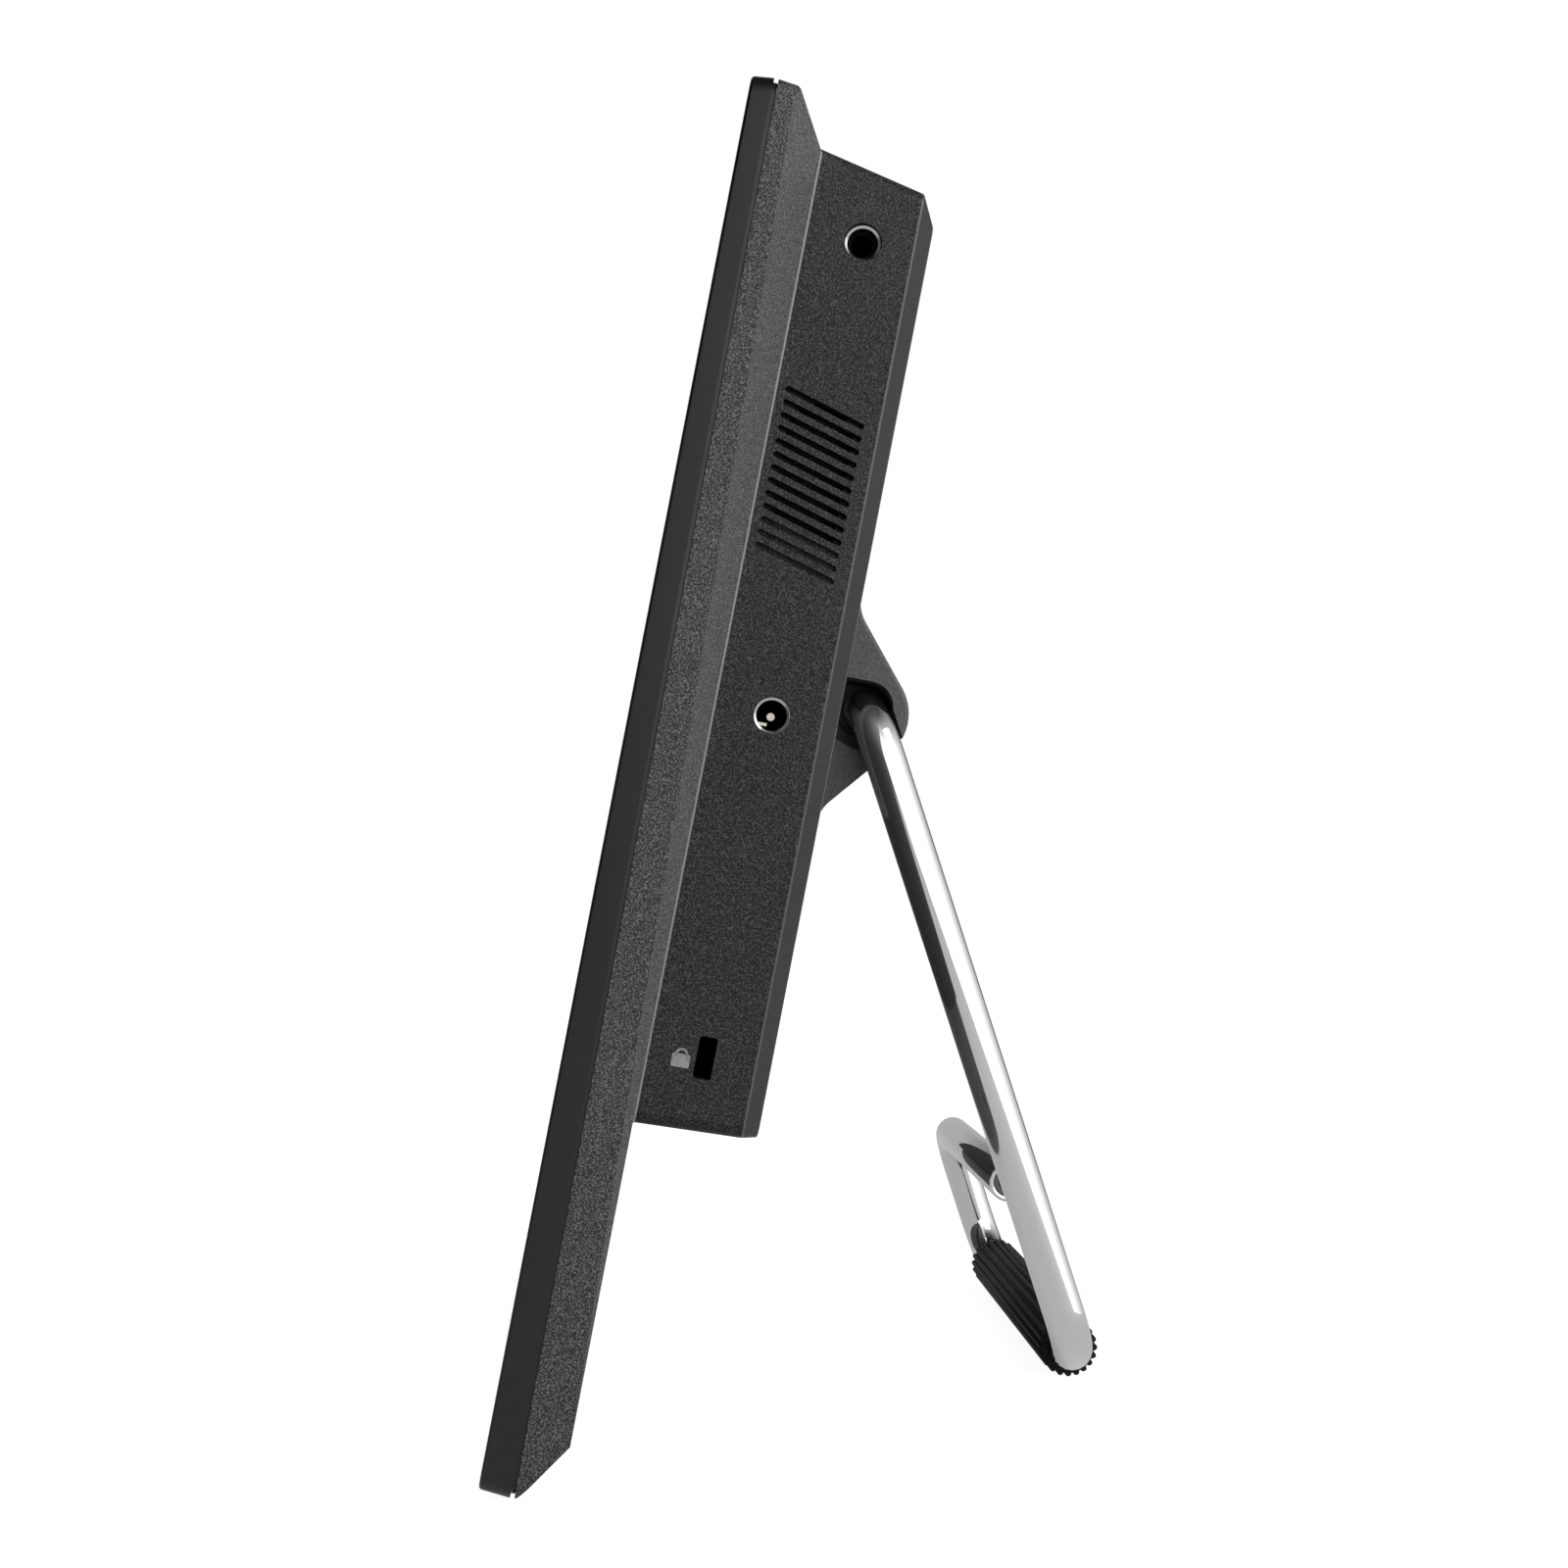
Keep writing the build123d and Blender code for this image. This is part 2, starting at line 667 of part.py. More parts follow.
def make_stand_collar():
    """Collar fixed on the tube, with the lug that meets the bracket's tab."""
    end = collar_x + collar_length
    collar = rod_x(pivot_depth, pivot_z, collar_x, end, collar_radius)
    half = lug_thickness / 2
    collar += block((collar_x + 1.5, end - 1.5), (pivot_depth - lug_reach, pivot_depth),
                    (pivot_z - half, pivot_z + half))
    return collar - rod_x(pivot_depth, pivot_z, collar_x - 1, end + 1, tube_radius + 0.02)


def make_spring_washer():
    """Dished spring washer that presses the collar against the left bush."""
    start = collar_x + collar_length + fit_gap
    end = right_ear_x - bush_flange - fit_gap
    thickness = 1.0
    inner = tube_radius + 0.4
    profile = [(inner, start), (bush_flange_radius - 0.2, end - thickness),
               (bush_flange_radius - 0.2, end), (inner, start + thickness)]
    face = make_face(Polyline(*[(x, radius) for radius, x in profile], close=True))
    return Pos(0, pivot_depth, pivot_z) * revolve(face, Axis.X)


def make_retaining_ring():
    start = left_ear_x - 1.5 - fit_gap - ring_thickness
    ring = disc_x(pivot_depth, pivot_z, start, start + ring_thickness, tube_radius + 1.8, tube_radius + 0.02)
    gap = block((start - 1, start + ring_thickness + 1), (pivot_depth, pivot_depth + 10),
                (pivot_z - 1.6, pivot_z + 1.6))
    return ring - gap


# ---------------------------------------------------------------- stand
def stand_plane():
    """The plane of the bent tube: x across the frame, y down the leg."""
    angle = radians(stand_angle)
    return Plane(origin=(0, pivot_y, pivot_height), x_dir=(1, 0, 0), z_dir=(0, cos(angle), sin(angle)))


def bar_point(x):
    """A point on the axis of the bar that rests on the table."""
    return stand_plane().from_local_coords(Vector(x, leg_length, 0))


def make_stand_tube():
    top = leg_length - return_rise
    corners = [(tube_inner_end, 0), (leg_x, 0), (leg_x, leg_length), (-leg_x, leg_length),
               (-leg_x, top), (return_end, top)]
    path = stand_plane() * FilletPolyline(*corners, radius=bend_radius)
    start = Plane(origin=path @ 0, z_dir=path % 0)
    outer = sweep(start * Circle(tube_radius), path)
    return outer - sweep(start * Circle(tube_radius - tube_wall), path)


def make_end_cap():
    """Plug pressed into the open end of the tube, with a groove in its face."""
    end = stand_plane().from_local_coords(Vector(return_end, leg_length - return_rise, 0))
    outer = tube_radius - tube_wall - 0.02
    cap = rod_x(end.Y, end.Z, return_end - 8, return_end - 0.25, outer)
    cap -= disc_x(end.Y, end.Z, return_end - 0.85, return_end + 1, 0.72 * outer, 0.5 * outer)
    return cap


def make_sleeve():
    """Ribbed rubber sleeve, turned so that one rib rests on the table."""
    start = bar_point(-sleeve_half_length)
    plane = Plane(origin=start, x_dir=(0, 0, -1), z_dir=(1, 0, 0))
    profile = Circle(sleeve_root_radius)
    profile += PolarLocations(sleeve_root_radius, sleeve_rib_count) * Circle(sleeve_rib_radius)
    profile -= Circle(tube_radius + 0.02)
    return extrude(plane * profile, 2 * sleeve_half_length, dir=(1, 0, 0))


def make_base_feet():
    """Two rubber strips under the bezel, cut flat where they meet the table."""
    half = foot_length / 2
    strips = Compound([
        block((side * foot_x - half, side * foot_x + half), (0.9, seam_depth_bottom - 0.5), (-3, 1)).solid()
        for side in (-1, 1)])
    table = block((-half_width, half_width), (2 * front_y, -front_y), (0, 10))
    return ((case_place * strips) & table) - case_place * bezel_form(0, 0, seam_depth_bottom)


# ---------------------------------------------------------------- boards
def inside_x(depth, gap):
    """How far the box reaches to the side at a depth, less a gap to its wall."""
    return box_half_at(depth) - wall - gap


side_x = inside_x(board_back, 1.2)
side_board_x = (side_x - side_board_length, side_x)
main_x = (main_board_gaps[0] - side_board_x[0], side_board_x[0] - main_board_gaps[1])
main_z = (box_top - main_board_drop - main_board_height, box_top - main_board_drop)
audio_z = (box_top - upper_socket_drop - 7, box_top - 9)
power_z = (box_top - lower_socket_drop - 8.5, box_top - lower_socket_drop + 8.5)
card_z = (box_bottom + board_rise, box_bottom + 69)
inverter_z = (box_bottom + board_rise, box_bottom + board_rise + inverter_height)
cable_window_z = (box_bottom + wall + 1, box_bottom + wall + 1 + cable_window)


def board_areas():
    """Name, x span and z span of every board that stands on the chassis plate."""
    return (("main_board", main_x, main_z),
            ("audio_board", side_board_x, audio_z),
            ("power_board", side_board_x, power_z),
            ("card_board", (-side_board_x[1], -side_board_x[0]), card_z),
            ("inverter_board", inverter_x, inverter_z))


def board_screw_places():
    """Centres of the board screws: two on a small board, four on the main one."""
    places = []
    for name, x, z in board_areas():
        middle_z = (z[0] + z[1]) / 2
        if name == "main_board":
            places += [(px, pz) for px in (x[0] + board_corner, x[1] - board_corner)
                       for pz in (z[0] + board_corner, z[1] - board_corner)]
        elif name == "card_board":
            places += [(x[1] - board_corner, z[0] + board_corner - 2),
                       (x[1] - board_corner, z[1] - board_corner + 2)]
        elif name == "inverter_board":
            places += [(x[0] + board_corner, middle_z), (x[1] - board_corner, middle_z)]
        else:
            places += [(x[0] + board_corner - 2, middle_z)]
    return places


def make_boards():
    boards = {}
    for name, x, z in board_areas():
        board = block(x, (board_depth + 0.02, board_back), z)
        for screw_x, screw_z in board_screw_places():
            if x[0] < screw_x < x[1] and z[0] < screw_z < z[1]:
                board -= rod_y(screw_x, screw_z, board_depth - 1, board_back + 1, pilot_radius + 0.3)
        boards[name] = board
    return boards


def on_board(x, z, height):
    """A component between two x and two z limits that stands on the boards' back face."""
    return block(x, (board_back, board_back + height), z)


def make_board_parts():
    """Chips, shield, capacitors, clock cell and connectors."""
    low = main_z[0]

    def along(share):
        """A place along the main board, as a share of its length from the left."""
        return main_x[0] + share * (main_x[1] - main_x[0])

    chips = [on_board((along(share), along(share) + w), (low + dz, low + dz + h), t)
             for share, dz, w, h, t in ((0.316, 42, 24, 24, 1.6), (0.48, 46, 12, 18, 1.1),
                                        (0.48, 22, 12, 18, 1.1), (0.153, 44, 10, 8, 1.4),
                                        (0.684, 52, 9, 9, 1.2), (0.776, 42, 14, 10, 1.4))]
    shield_x = (along(0.582), along(0.582) + 34)
    shield = on_board(shield_x, (low + 12, low + 40), 3.2)
    shield -= on_board((shield_x[0] + 0.4, shield_x[1] - 0.4), (low + 12.4, low + 39.6), 2.8)
    cans = [rod_y(along(share), low + dz, board_back, board_back + h, r)
            for share, dz, r, h in ((0.07, 30, 4, 8), (0.122, 30, 4, 8), (0.878, 66, 3.2, 7),
                                    (0.92, 66, 3.2, 7), (0.878, 56, 3.2, 7))]
    cell_x, cell_z = along(0.173), low + 70
    holder = rod_y(cell_x, cell_z, board_back, board_back + 4.6, 11.6)
    holder -= rod_y(cell_x, cell_z, board_back + 1, board_back + 6, 10.06)
    cell = rod_y(cell_x, cell_z, board_back + 1, board_back + 4.2, 10.0)
    start, low = inverter_x[0], inverter_z[0]
    transformer = on_board((start + 40, start + 62), (low + 3, low + 17), 7)
    inductors = [on_board((start + dx, start + dx + 8), (low + 5, low + 13), 4) for dx in (18, 74, 84)]
    connector = block((cable_x[0] - 2, cable_x[1] + 2), (board_depth - 2.4, board_depth),
                      (main_z[0] + 2, main_z[0] + 7))
    return {
        "board_chips": Compound([chip.solid() for chip in chips]),
        "shield_can": shield,
        "board_capacitors": Compound([can.solid() for can in cans]),
        "clock_cell_holder": holder,
        "clock_cell": cell,
        "inverter_parts": Compound([transformer.solid()] + [part.solid() for part in inductors]),
        "display_connector": connector,
    }


def make_display_cable():
    """Flat cable from the screen, through the plate's window and up to the main board."""
    thickness = 0.4
    low = cable_window_z[0] + 1.5
    start = bezel_face + fit_gap + module_depth + 0.02
    turn = plate_back + fit_gap
    end = board_depth - 2.4
    rise = main_z[0] + 4.5
    cable = block(cable_x, (start, turn + thickness), (low, low + thickness))
    cable += block(cable_x, (turn, turn + thickness), (low, rise))
    cable += block(cable_x, (turn, end), (rise - thickness, rise))
    inset = 1.0
    return cable & block((cable_x[0] + inset, cable_x[1] - inset), (0, back_depth), (0, frame_height))


def make_sockets():
    """The two round sockets on the near side, with the parts seen in their mouths."""
    headphone_z = box_top - upper_socket_drop
    power_at_z = box_top - lower_socket_drop
    edge = box_half_at(feature_depth)
    body_end = edge - wall - 0.5
    sockets = {}
    for prefix, z, recess in (("headphone", headphone_z, socket_recess), ("power", power_at_z, 0.15)):
        mouth = edge - recess
        body = block((body_end - 13, body_end), (board_back, 2 * feature_depth - board_back),
                     (z - 4.5, z + 4.5))
        ring = disc_x(feature_depth, z, body_end, mouth, socket_hole_radius - fit_gap, socket_mouth_radius)
        ring = chamfer(ring.edges().filter_by(GeomType.CIRCLE).group_by(Axis.X)[-1].sort_by(
            SortBy.RADIUS)[0], 0.2)
        sockets[prefix + "_socket_ring"] = ring
        sockets[prefix + "_socket"] = body
    sockets["headphone_socket"] -= rod_x(feature_depth, headphone_z, body_end - 12, body_end + 1, 1.8)
    sockets["power_socket"] -= rod_x(feature_depth, power_at_z, body_end - 9.5, body_end + 1,
                                     socket_mouth_radius)
    pin = rod_x(feature_depth, power_at_z, body_end - 9.5, body_end - 1, 0.65)
    spring = block((body_end - 9.4, body_end - 1.5),
                   (feature_depth - 1.9, feature_depth - 0.4), (power_at_z - 1.6, power_at_z - 1.1))
    sockets["power_socket_pin"] = pin
    sockets["power_socket_spring"] = spring
    return sockets


def make_side_connectors():
    """Card reader and USB socket behind the ports on the far side."""
    parts = {}
    (card_rise, card_h, card_w, card_d), (usb_rise, usb_h, usb_w, usb_d) = side_ports()
    z = box_bottom + card_rise
    reader = box_inside(0.3, panel_depth, (-half_width, -half_width + 37),
                        (board_back, board_back + 4.4), (z - 15, z + 15))
    reader -= block((-half_width, -half_width + 35.5), (card_d - 1.2, card_d + 1.2), (z - 12.2, z + 12.2))
    z = box_bottom + usb_rise
    usb = box_inside(0.3, panel_depth, (-half_width, -half_width + 24),
                     (board_back, board_back + 7.2), (z - 7.2, z + 7.2))
    cavity = block((-half_width, -half_width + 22), (usb_d - 2.4, usb_d + 2.4), (z - 6.2, z + 6.2))
    blade = block((-half_width + 13, -half_width + 23), (usb_d - 0.9, usb_d + 0.9), (z - 5.4, z + 5.4))
    parts["card_reader"] = reader
    parts["usb_socket"] = usb - (cavity - blade)
    return parts


def make_speakers():
    """A small speaker behind each group of vents: its frame and its cone."""
    frames, cones = [], []
    top = box_top - first_slot_drop + 3
    low = top - (slot_count - 1) * slot_pitch - 6
    middle_z = (top + low) / 2
    y = (slot_middle_depth - 7.2, slot_middle_depth + 7.2)
    for side in (-1, 1):
        near, far = half_width - 26, half_width
        x = (near, far) if side > 0 else (-far, -near)
        body = box_inside(0.3, panel_depth, x, y, (low, top))
        opening_x = x[0] - 1 if side < 0 else near + 6
        opening = extrude(Plane.YZ.offset(opening_x) * Pos(slot_middle_depth, middle_z) * Rot(0, 0, 90)
                          * SlotOverall(top - low - 4, 11), 21, dir=(1, 0, 0))
        frames.append((body - opening).solid())
        cone_x = side * (near + 6)
        start = Plane.YZ.offset(cone_x) * Pos(slot_middle_depth, middle_z) * Rot(0, 0, 90)
        finish = Plane.YZ.offset(cone_x + side * 3.4) * Pos(slot_middle_depth, middle_z) * Rot(0, 0, 90)
        cone = loft([start * SlotOverall(top - low - 14, 5), finish * SlotOverall(top - low - 4.2, 10.8)])
        cones.append(cone.solid())
    return {"speaker_frames": Compound(frames), "speaker_cones": Compound(cones)}


def make_speaker_leads():
    """Two thin leads from the speakers to the edge of the main board."""
    z = box_top - first_slot_drop - 8
    depth = board_back + 3.5
    leads = []
    for side, end_x in ((1, main_x[1] - 4), (-1, main_x[0] + 4)):
        start_x = side * (half_width - 26)
        bend_x = end_x + side * 8
        path = FilletPolyline((start_x, depth, z), (bend_x, depth, z), (end_x, depth - 1.5, z - 10),
                              (end_x, board_back + 0.6, z - 22), radius=4)
        leads.append(sweep(Plane(origin=path @ 0, z_dir=path % 0) * Circle(0.6), path).solid())
    return Compound(leads)


# ---------------------------------------------------------------- buttons
def button_row_ends(reach):
    """Left and right ends of something that reaches past the row of buttons."""
    centres = [x for name, x, length, height in button_places()]
    return min(centres) - reach[0], max(centres) + reach[1]


def button_post_places():
    return [(x, button_z) for x in button_row_ends(button_post_reach)]


def make_button_board():
    half = button_board_half_height
    board = block(button_row_ends(button_board_reach),
                  (button_board_back - board_thickness, button_board_back - 0.02),
                  (button_z - half, button_z + half))
    for x, z in button_post_places():
        board -= rod_y(x, z, button_board_back - 5, button_board_back + 1, 1.1)
    return board


def make_buttons():
    """Each button's cap with the flange that keeps it in, and the switches behind them."""
    pieces, switches = {}, []
    for name, x, length, height in button_places():
        cap = button_bar(x, length, height, 0, button_stem_front, back_depth - 0.05)
        cap = fillet(cap.edges().group_by(Axis.Y)[-1], 0.35)
        cap += button_bar(x, length, height, button_flange, button_stem_front, button_flange_back)
        pieces[name] = cap
        half = switch_size / 2
        base = block((x - half, x + half), (button_board_back, button_board_back + 2.4),
                     (button_z - half, button_z + half))
        base += rod_y(x, button_z, button_board_back + 2.4, button_board_back + switch_height, 1.6)
        switches.append(base.solid())
    pieces["tact_switches"] = Compound(switches)
    return pieces


# ---------------------------------------------------------------- screws
def screw(x, z, seat, length, towards_front=True):
    """A cross-head screw whose head sits on a seat, with its shank towards the front."""
    turn = 1 if towards_front else -1
    head = rod_y(x, z, *sorted((seat, seat + turn * screw_head_height)), screw_head_radius)
    top = seat + turn * screw_head_height
    cross = block((x - 1.5, x + 1.5), sorted((top - turn * 0.8, top + turn)), (z - 0.3, z + 0.3))
    cross += block((x - 0.3, x + 0.3), sorted((top - turn * 0.8, top + turn)), (z - 1.5, z + 1.5))
    shank = rod_y(x, z, *sorted((seat, seat - turn * length)), pilot_radius)
    return (head - cross + shank).solid()


def make_screws():
    housing = [screw(x, z, web_depth + web_thickness, 7) for x, z in post_places()]
    plate = [screw(x, z, plate_back, 5.5) for x, z in plate_screw_places()]
    board = [screw(x, z, board_back, 6) for x, z in board_screw_places()]
    seat = back_inside - fit_gap / 2 - bracket_thickness
    hinge = [screw(x, z, seat, 7, towards_front=False) for x, z in hinge_screw_places()]
    button_seat = button_board_back - board_thickness
    button = []
    for x, z in button_post_places():
        head = rod_y(x, z, button_seat - 1.2, button_seat, 1.8)
        button.append((head + rod_y(x, z, button_seat, button_seat + 6, 0.9)).solid())
    return {"housing_screws": Compound(housing), "plate_screws": Compound(plate),
            "board_screws": Compound(board), "hinge_screws": Compound(hinge),
            "button_board_screws": Compound(button)}


# ---------------------------------------------------------------- the whole frame
def case_pieces():
    """Every piece that is modelled upright and leans with the case."""
    pieces = {
        "front_bezel": make_front_bezel(),
        "rear_housing": make_rear_housing(),
        "chassis_plate": make_chassis_plate(),
        "hinge_cover": make_hinge_cover(),
        "hinge_bracket": make_hinge_bracket(),
        "hinge_bushes": make_hinge_bushes(),
        "stand_collar": make_stand_collar(),
        "spring_washer": make_spring_washer(),
        "retaining_ring": make_retaining_ring(),
        "lock_plate": make_lock_plate(),
        "display_cable": make_display_cable(),
        "speaker_leads": make_speaker_leads(),
        "button_board": make_button_board(),
    }
    for group in (make_screen(), make_boards(), make_board_parts(), make_sockets(),
                  make_side_connectors(), make_speakers(), make_buttons(), make_screws()):
        pieces.update(group)
    return pieces


def all_pieces():
    pieces = {name: case_place * shape for name, shape in case_pieces().items()}
    pieces["stand_tube"] = make_stand_tube()
    pieces["stand_end_cap"] = make_end_cap()
    pieces["stand_sleeve"] = make_sleeve()
    pieces["base_feet"] = make_base_feet()
    return pieces


os.makedirs("parts", exist_ok=True)
for piece_name, piece in all_pieces().items():
    export_step(piece, f"parts/{piece_name}.step")
print("leg length", round(leg_length, 3), "fold angle", round(fold_angle, 3))
print("pivot", round(pivot_y, 3), round(pivot_height, 3), "case origin", round(front_y, 3), round(lift, 3))
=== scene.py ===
"""Looks of a desktop digital photo frame that leans back on a folding stand of bent tube.

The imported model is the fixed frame. Pieces of the case are shaped in case coordinates, in
millimetres: x across, y the depth behind the front face, z the height above the bottom seam.
Pieces of the stand are shaped in the plane of its bent tube, and both are then placed by a
matrix that comes from the frame's own joints.
"""

import json
import logging
import math
from dataclasses import dataclass, field
from enum import Enum, IntEnum
from typing import Any, Callable, Iterable, Sequence

import bmesh
import bpy
from bmesh.types import BMEdge, BMesh, BMFace, BMVert
from bpy.types import Material, Node, NodeSocket, NodeTree, Object
from mathutils import Matrix, Vector


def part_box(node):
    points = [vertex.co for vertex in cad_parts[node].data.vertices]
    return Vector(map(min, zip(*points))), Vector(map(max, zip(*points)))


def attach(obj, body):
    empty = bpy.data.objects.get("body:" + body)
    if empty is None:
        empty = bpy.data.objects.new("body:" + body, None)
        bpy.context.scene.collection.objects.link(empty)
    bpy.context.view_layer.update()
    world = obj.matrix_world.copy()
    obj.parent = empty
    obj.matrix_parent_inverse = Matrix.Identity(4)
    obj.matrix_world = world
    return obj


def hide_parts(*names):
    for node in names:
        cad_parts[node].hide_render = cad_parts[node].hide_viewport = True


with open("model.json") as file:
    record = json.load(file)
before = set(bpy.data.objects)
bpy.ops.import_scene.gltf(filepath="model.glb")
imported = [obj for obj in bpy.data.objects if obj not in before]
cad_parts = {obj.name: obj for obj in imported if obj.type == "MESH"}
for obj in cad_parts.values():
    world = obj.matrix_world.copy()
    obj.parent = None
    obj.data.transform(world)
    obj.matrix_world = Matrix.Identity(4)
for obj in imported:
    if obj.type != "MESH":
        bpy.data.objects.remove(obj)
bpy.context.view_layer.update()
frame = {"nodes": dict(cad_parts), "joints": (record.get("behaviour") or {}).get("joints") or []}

MM = 0.001
MERGE_MM = 0.001
FLAT_DEG = 0.4
QUARTER_TURN = math.pi / 2
log = logging.getLogger("photo_frame")

Colour = tuple[float, float, float, float]
Stops = Sequence[tuple[float, Colour]]


# ---------------- colour and nodes
def linear(hex_colour: str) -> Colour:
    """Turns an sRGB hex colour to linear values with an alpha of 1.

    Args:
        hex_colour: six hex digits, such as "1b1c1e".

    Returns:
        The linear red, green and blue, and 1.
    """
    channels = [int(hex_colour[i:i + 2], 16) / 255 for i in (0, 2, 4)]
    toned = [c / 12.92 if c <= 0.04045 else ((c + 0.055) / 1.055) ** 2.4 for c in channels]
    return (toned[0], toned[1], toned[2], 1.0)


def grey(value: float) -> Colour:
    """Makes a linear grey.

    Args:
        value: its linear brightness.

    Returns:
        The grey, with an alpha of 1.
    """
    return (value, value, value, 1.0)


def add_node(tree: NodeTree, kind: str, settings: dict[str, Any] | None = None,
             values: dict[Any, Any] | None = None,
             links: dict[Any, Any] | None = None) -> Node:
    """Adds one node to a tree.

    Args:
        tree: the node tree.
        kind: the node's type, without its "ShaderNode" start.
        settings: attributes of the node itself.
        values: input values, by socket name or number.
        links: output sockets to link from, by input name or number.

    Returns:
        The new node.
    """
    node = tree.nodes.new("ShaderNode" + kind)
    for name, value in (settings or {}).items():
        setattr(node, name, value)
    for name, value in (values or {}).items():
        node.inputs[name].default_value = value
    for name, socket in (links or {}).items():
        tree.links.new(socket, node.inputs[name])
    return node


def add_ramp(tree: NodeTree, source: NodeSocket,
             stops: Stops) -> NodeSocket:
    """Adds a colour ramp.

    Args:
        tree: the node tree.
        source: what drives the ramp.
        stops: place and colour of each stop.

    Returns:
        The ramp's colour.
    """
    ramp = add_node(tree, "ValToRGB", links={"Fac": source})
    elements = ramp.color_ramp.elements
    while len(elements) < len(stops):
        elements.new(1.0)
    for element, (place, colour) in zip(elements, stops):
        element.position = place
        element.color = colour
    return ramp.outputs[0]


def add_bump(tree: NodeTree, shader: Node, height: NodeSocket,
             rise_mm: float, strength: float = 1.0, invert: bool = False) -> None:
    """Turns a height into bumps on a surface.

    Args:
        tree: the node tree.
        shader: the surface's shader.
        height: the socket with the height, from 0 to 1.
        rise_mm: how far a height of 1 rises.
        strength: share of the bumps that is used.
        invert: whether the height sinks instead.
    """
    bump = add_node(tree, "Bump", {"invert": invert},
                    {"Strength": strength, "Distance": rise_mm * MM}, {"Height": height})
    tree.links.new(bump.outputs[0], shader.inputs["Normal"])


# ---------------- finishes
@dataclass(frozen=True)
class Finish:
    """What one surface is made of. Each kind of finish fills in its own nodes."""

    name: str
    base: str = "808080"
    roughness: float = 0.5

    def material(self) -> Material:
        """Makes this finish's material once, and then shares it.

        Returns:
            The material.
        """
        known = bpy.data.materials.get(self.name)
        if known is not None:
            return known
        made = bpy.data.materials.new(self.name)
        made.use_nodes = True
        tree = made.node_tree
        tree.nodes.clear()
        shader = add_node(tree, "BsdfPrincipled",
                          values={"Base Color": linear(self.base), "Roughness": self.roughness})
        add_node(tree, "OutputMaterial", links={"Surface": shader.outputs[0]})
        self.dress(tree, shader)
        return made

    def dress(self, tree: NodeTree, shader: Node) -> None:
        """Adds what sets this kind of finish apart.

        Args:
            tree: the material's node tree.
            shader: its shader.
        """

    def place(self, tree: NodeTree, grain_mm: float) -> NodeSocket:
        """Reads object coordinates in units of one grain.

        Args:
            tree: the node tree.
            grain_mm: the real size of a grain.

        Returns:
            The socket with the scaled coordinates.
        """
        where = add_node(tree, "TexCoord")
        mapping = add_node(tree, "Mapping", values={"Scale": (1 / (grain_mm * MM),) * 3},
                           links={"Vector": where.outputs["Object"]})
        return mapping.outputs[0]

    def noise(self, tree: NodeTree, grain_mm: float, detail: float,
              rough: float = 0.5) -> NodeSocket:
        """Adds noise of a real size.

        Args:
            tree: the node tree.
            grain_mm: the real size of its largest grain.
            detail: how many finer layers it has.
            rough: how strong each finer layer is.

        Returns:
            The noise, from 0 to 1.
        """
        made = add_node(tree, "TexNoise",
                        values={"Scale": 1.0, "Detail": detail, "Roughness": rough},
                        links={"Vector": self.place(tree, grain_mm)})
        return made.outputs["Fac"]


@dataclass(frozen=True)
class MouldedPlastic(Finish):
    """Injection-moulded ABS: the mould's spark-eroded grain as small bumps, whose raised tips are
    coloured lighter as a painted sheen.
    """

    sheen_tip: str = "505050"
    grain_mm: float = 0.6
    grain_height_mm: float = 0.03
    pit_share: float = 0.45
    cloud_mm: float = 18.0
    gloss_drift: float = 0.05
    coat: float = 0.0
    specular: float = 0.5

    def dress(self, tree: NodeTree, shader: Node) -> None:
        """Adds grain in height, a painted sheen that colours the raised grain lighter, and a slow
        drift in gloss across the moulding.
        """
        grain = self.noise(tree, self.grain_mm, 2.5, 0.62)
        pits = add_node(tree, "TexVoronoi", {"feature": "F1"}, {"Scale": 0.85, "Randomness": 1.0},
                        {"Vector": self.place(tree, self.grain_mm)})
        height = add_node(tree, "Math", {"operation": "MULTIPLY_ADD"}, {1: -self.pit_share},
                          {0: pits.outputs["Distance"], 2: grain})
        # painted sheen: where the grain noise rises, the colour goes towards the lighter tip grey
        tone = add_ramp(tree, grain, [(0.46, linear(self.base)), (0.66, linear(self.sheen_tip))])
        tree.links.new(tone, shader.inputs["Base Color"])
        gloss = add_node(tree, "MapRange",
                         values={"From Min": 0.3, "From Max": 0.7,
                                 "To Min": self.roughness - self.gloss_drift,
                                 "To Max": self.roughness + self.gloss_drift},
                         links={"Value": self.noise(tree, self.cloud_mm, 3.0)})
        tree.links.new(gloss.outputs[0], shader.inputs["Roughness"])
        add_bump(tree, shader, height.outputs[0], self.grain_height_mm)
        shader.inputs["Specular IOR Level"].default_value = self.specular
        shader.inputs["Coat Weight"].default_value = self.coat
        shader.inputs["Coat Roughness"].default_value = 0.12


@dataclass(frozen=True)
class PlatedMetal(Finish):
    """Electroplated metal: mirror-bright, with faint wiping haze that breaks the highlights."""

    haze_mm: float = 9.0
    haze: float = 0.03

    def dress(self, tree: NodeTree, shader: Node) -> None:
        """Adds haze in the roughness only, so that the reflections stay true."""
        shader.inputs["Metallic"].default_value = 1.0
        rough = add_node(tree, "MapRange",
                         values={"From Min": 0.35, "From Max": 0.75, "To Min": self.roughness,
                                 "To Max": self.roughness + self.haze},
                         links={"Value": self.noise(tree, self.haze_mm, 5.0, 0.7)})
        tree.links.new(rough.outputs[0], shader.inputs["Roughness"])


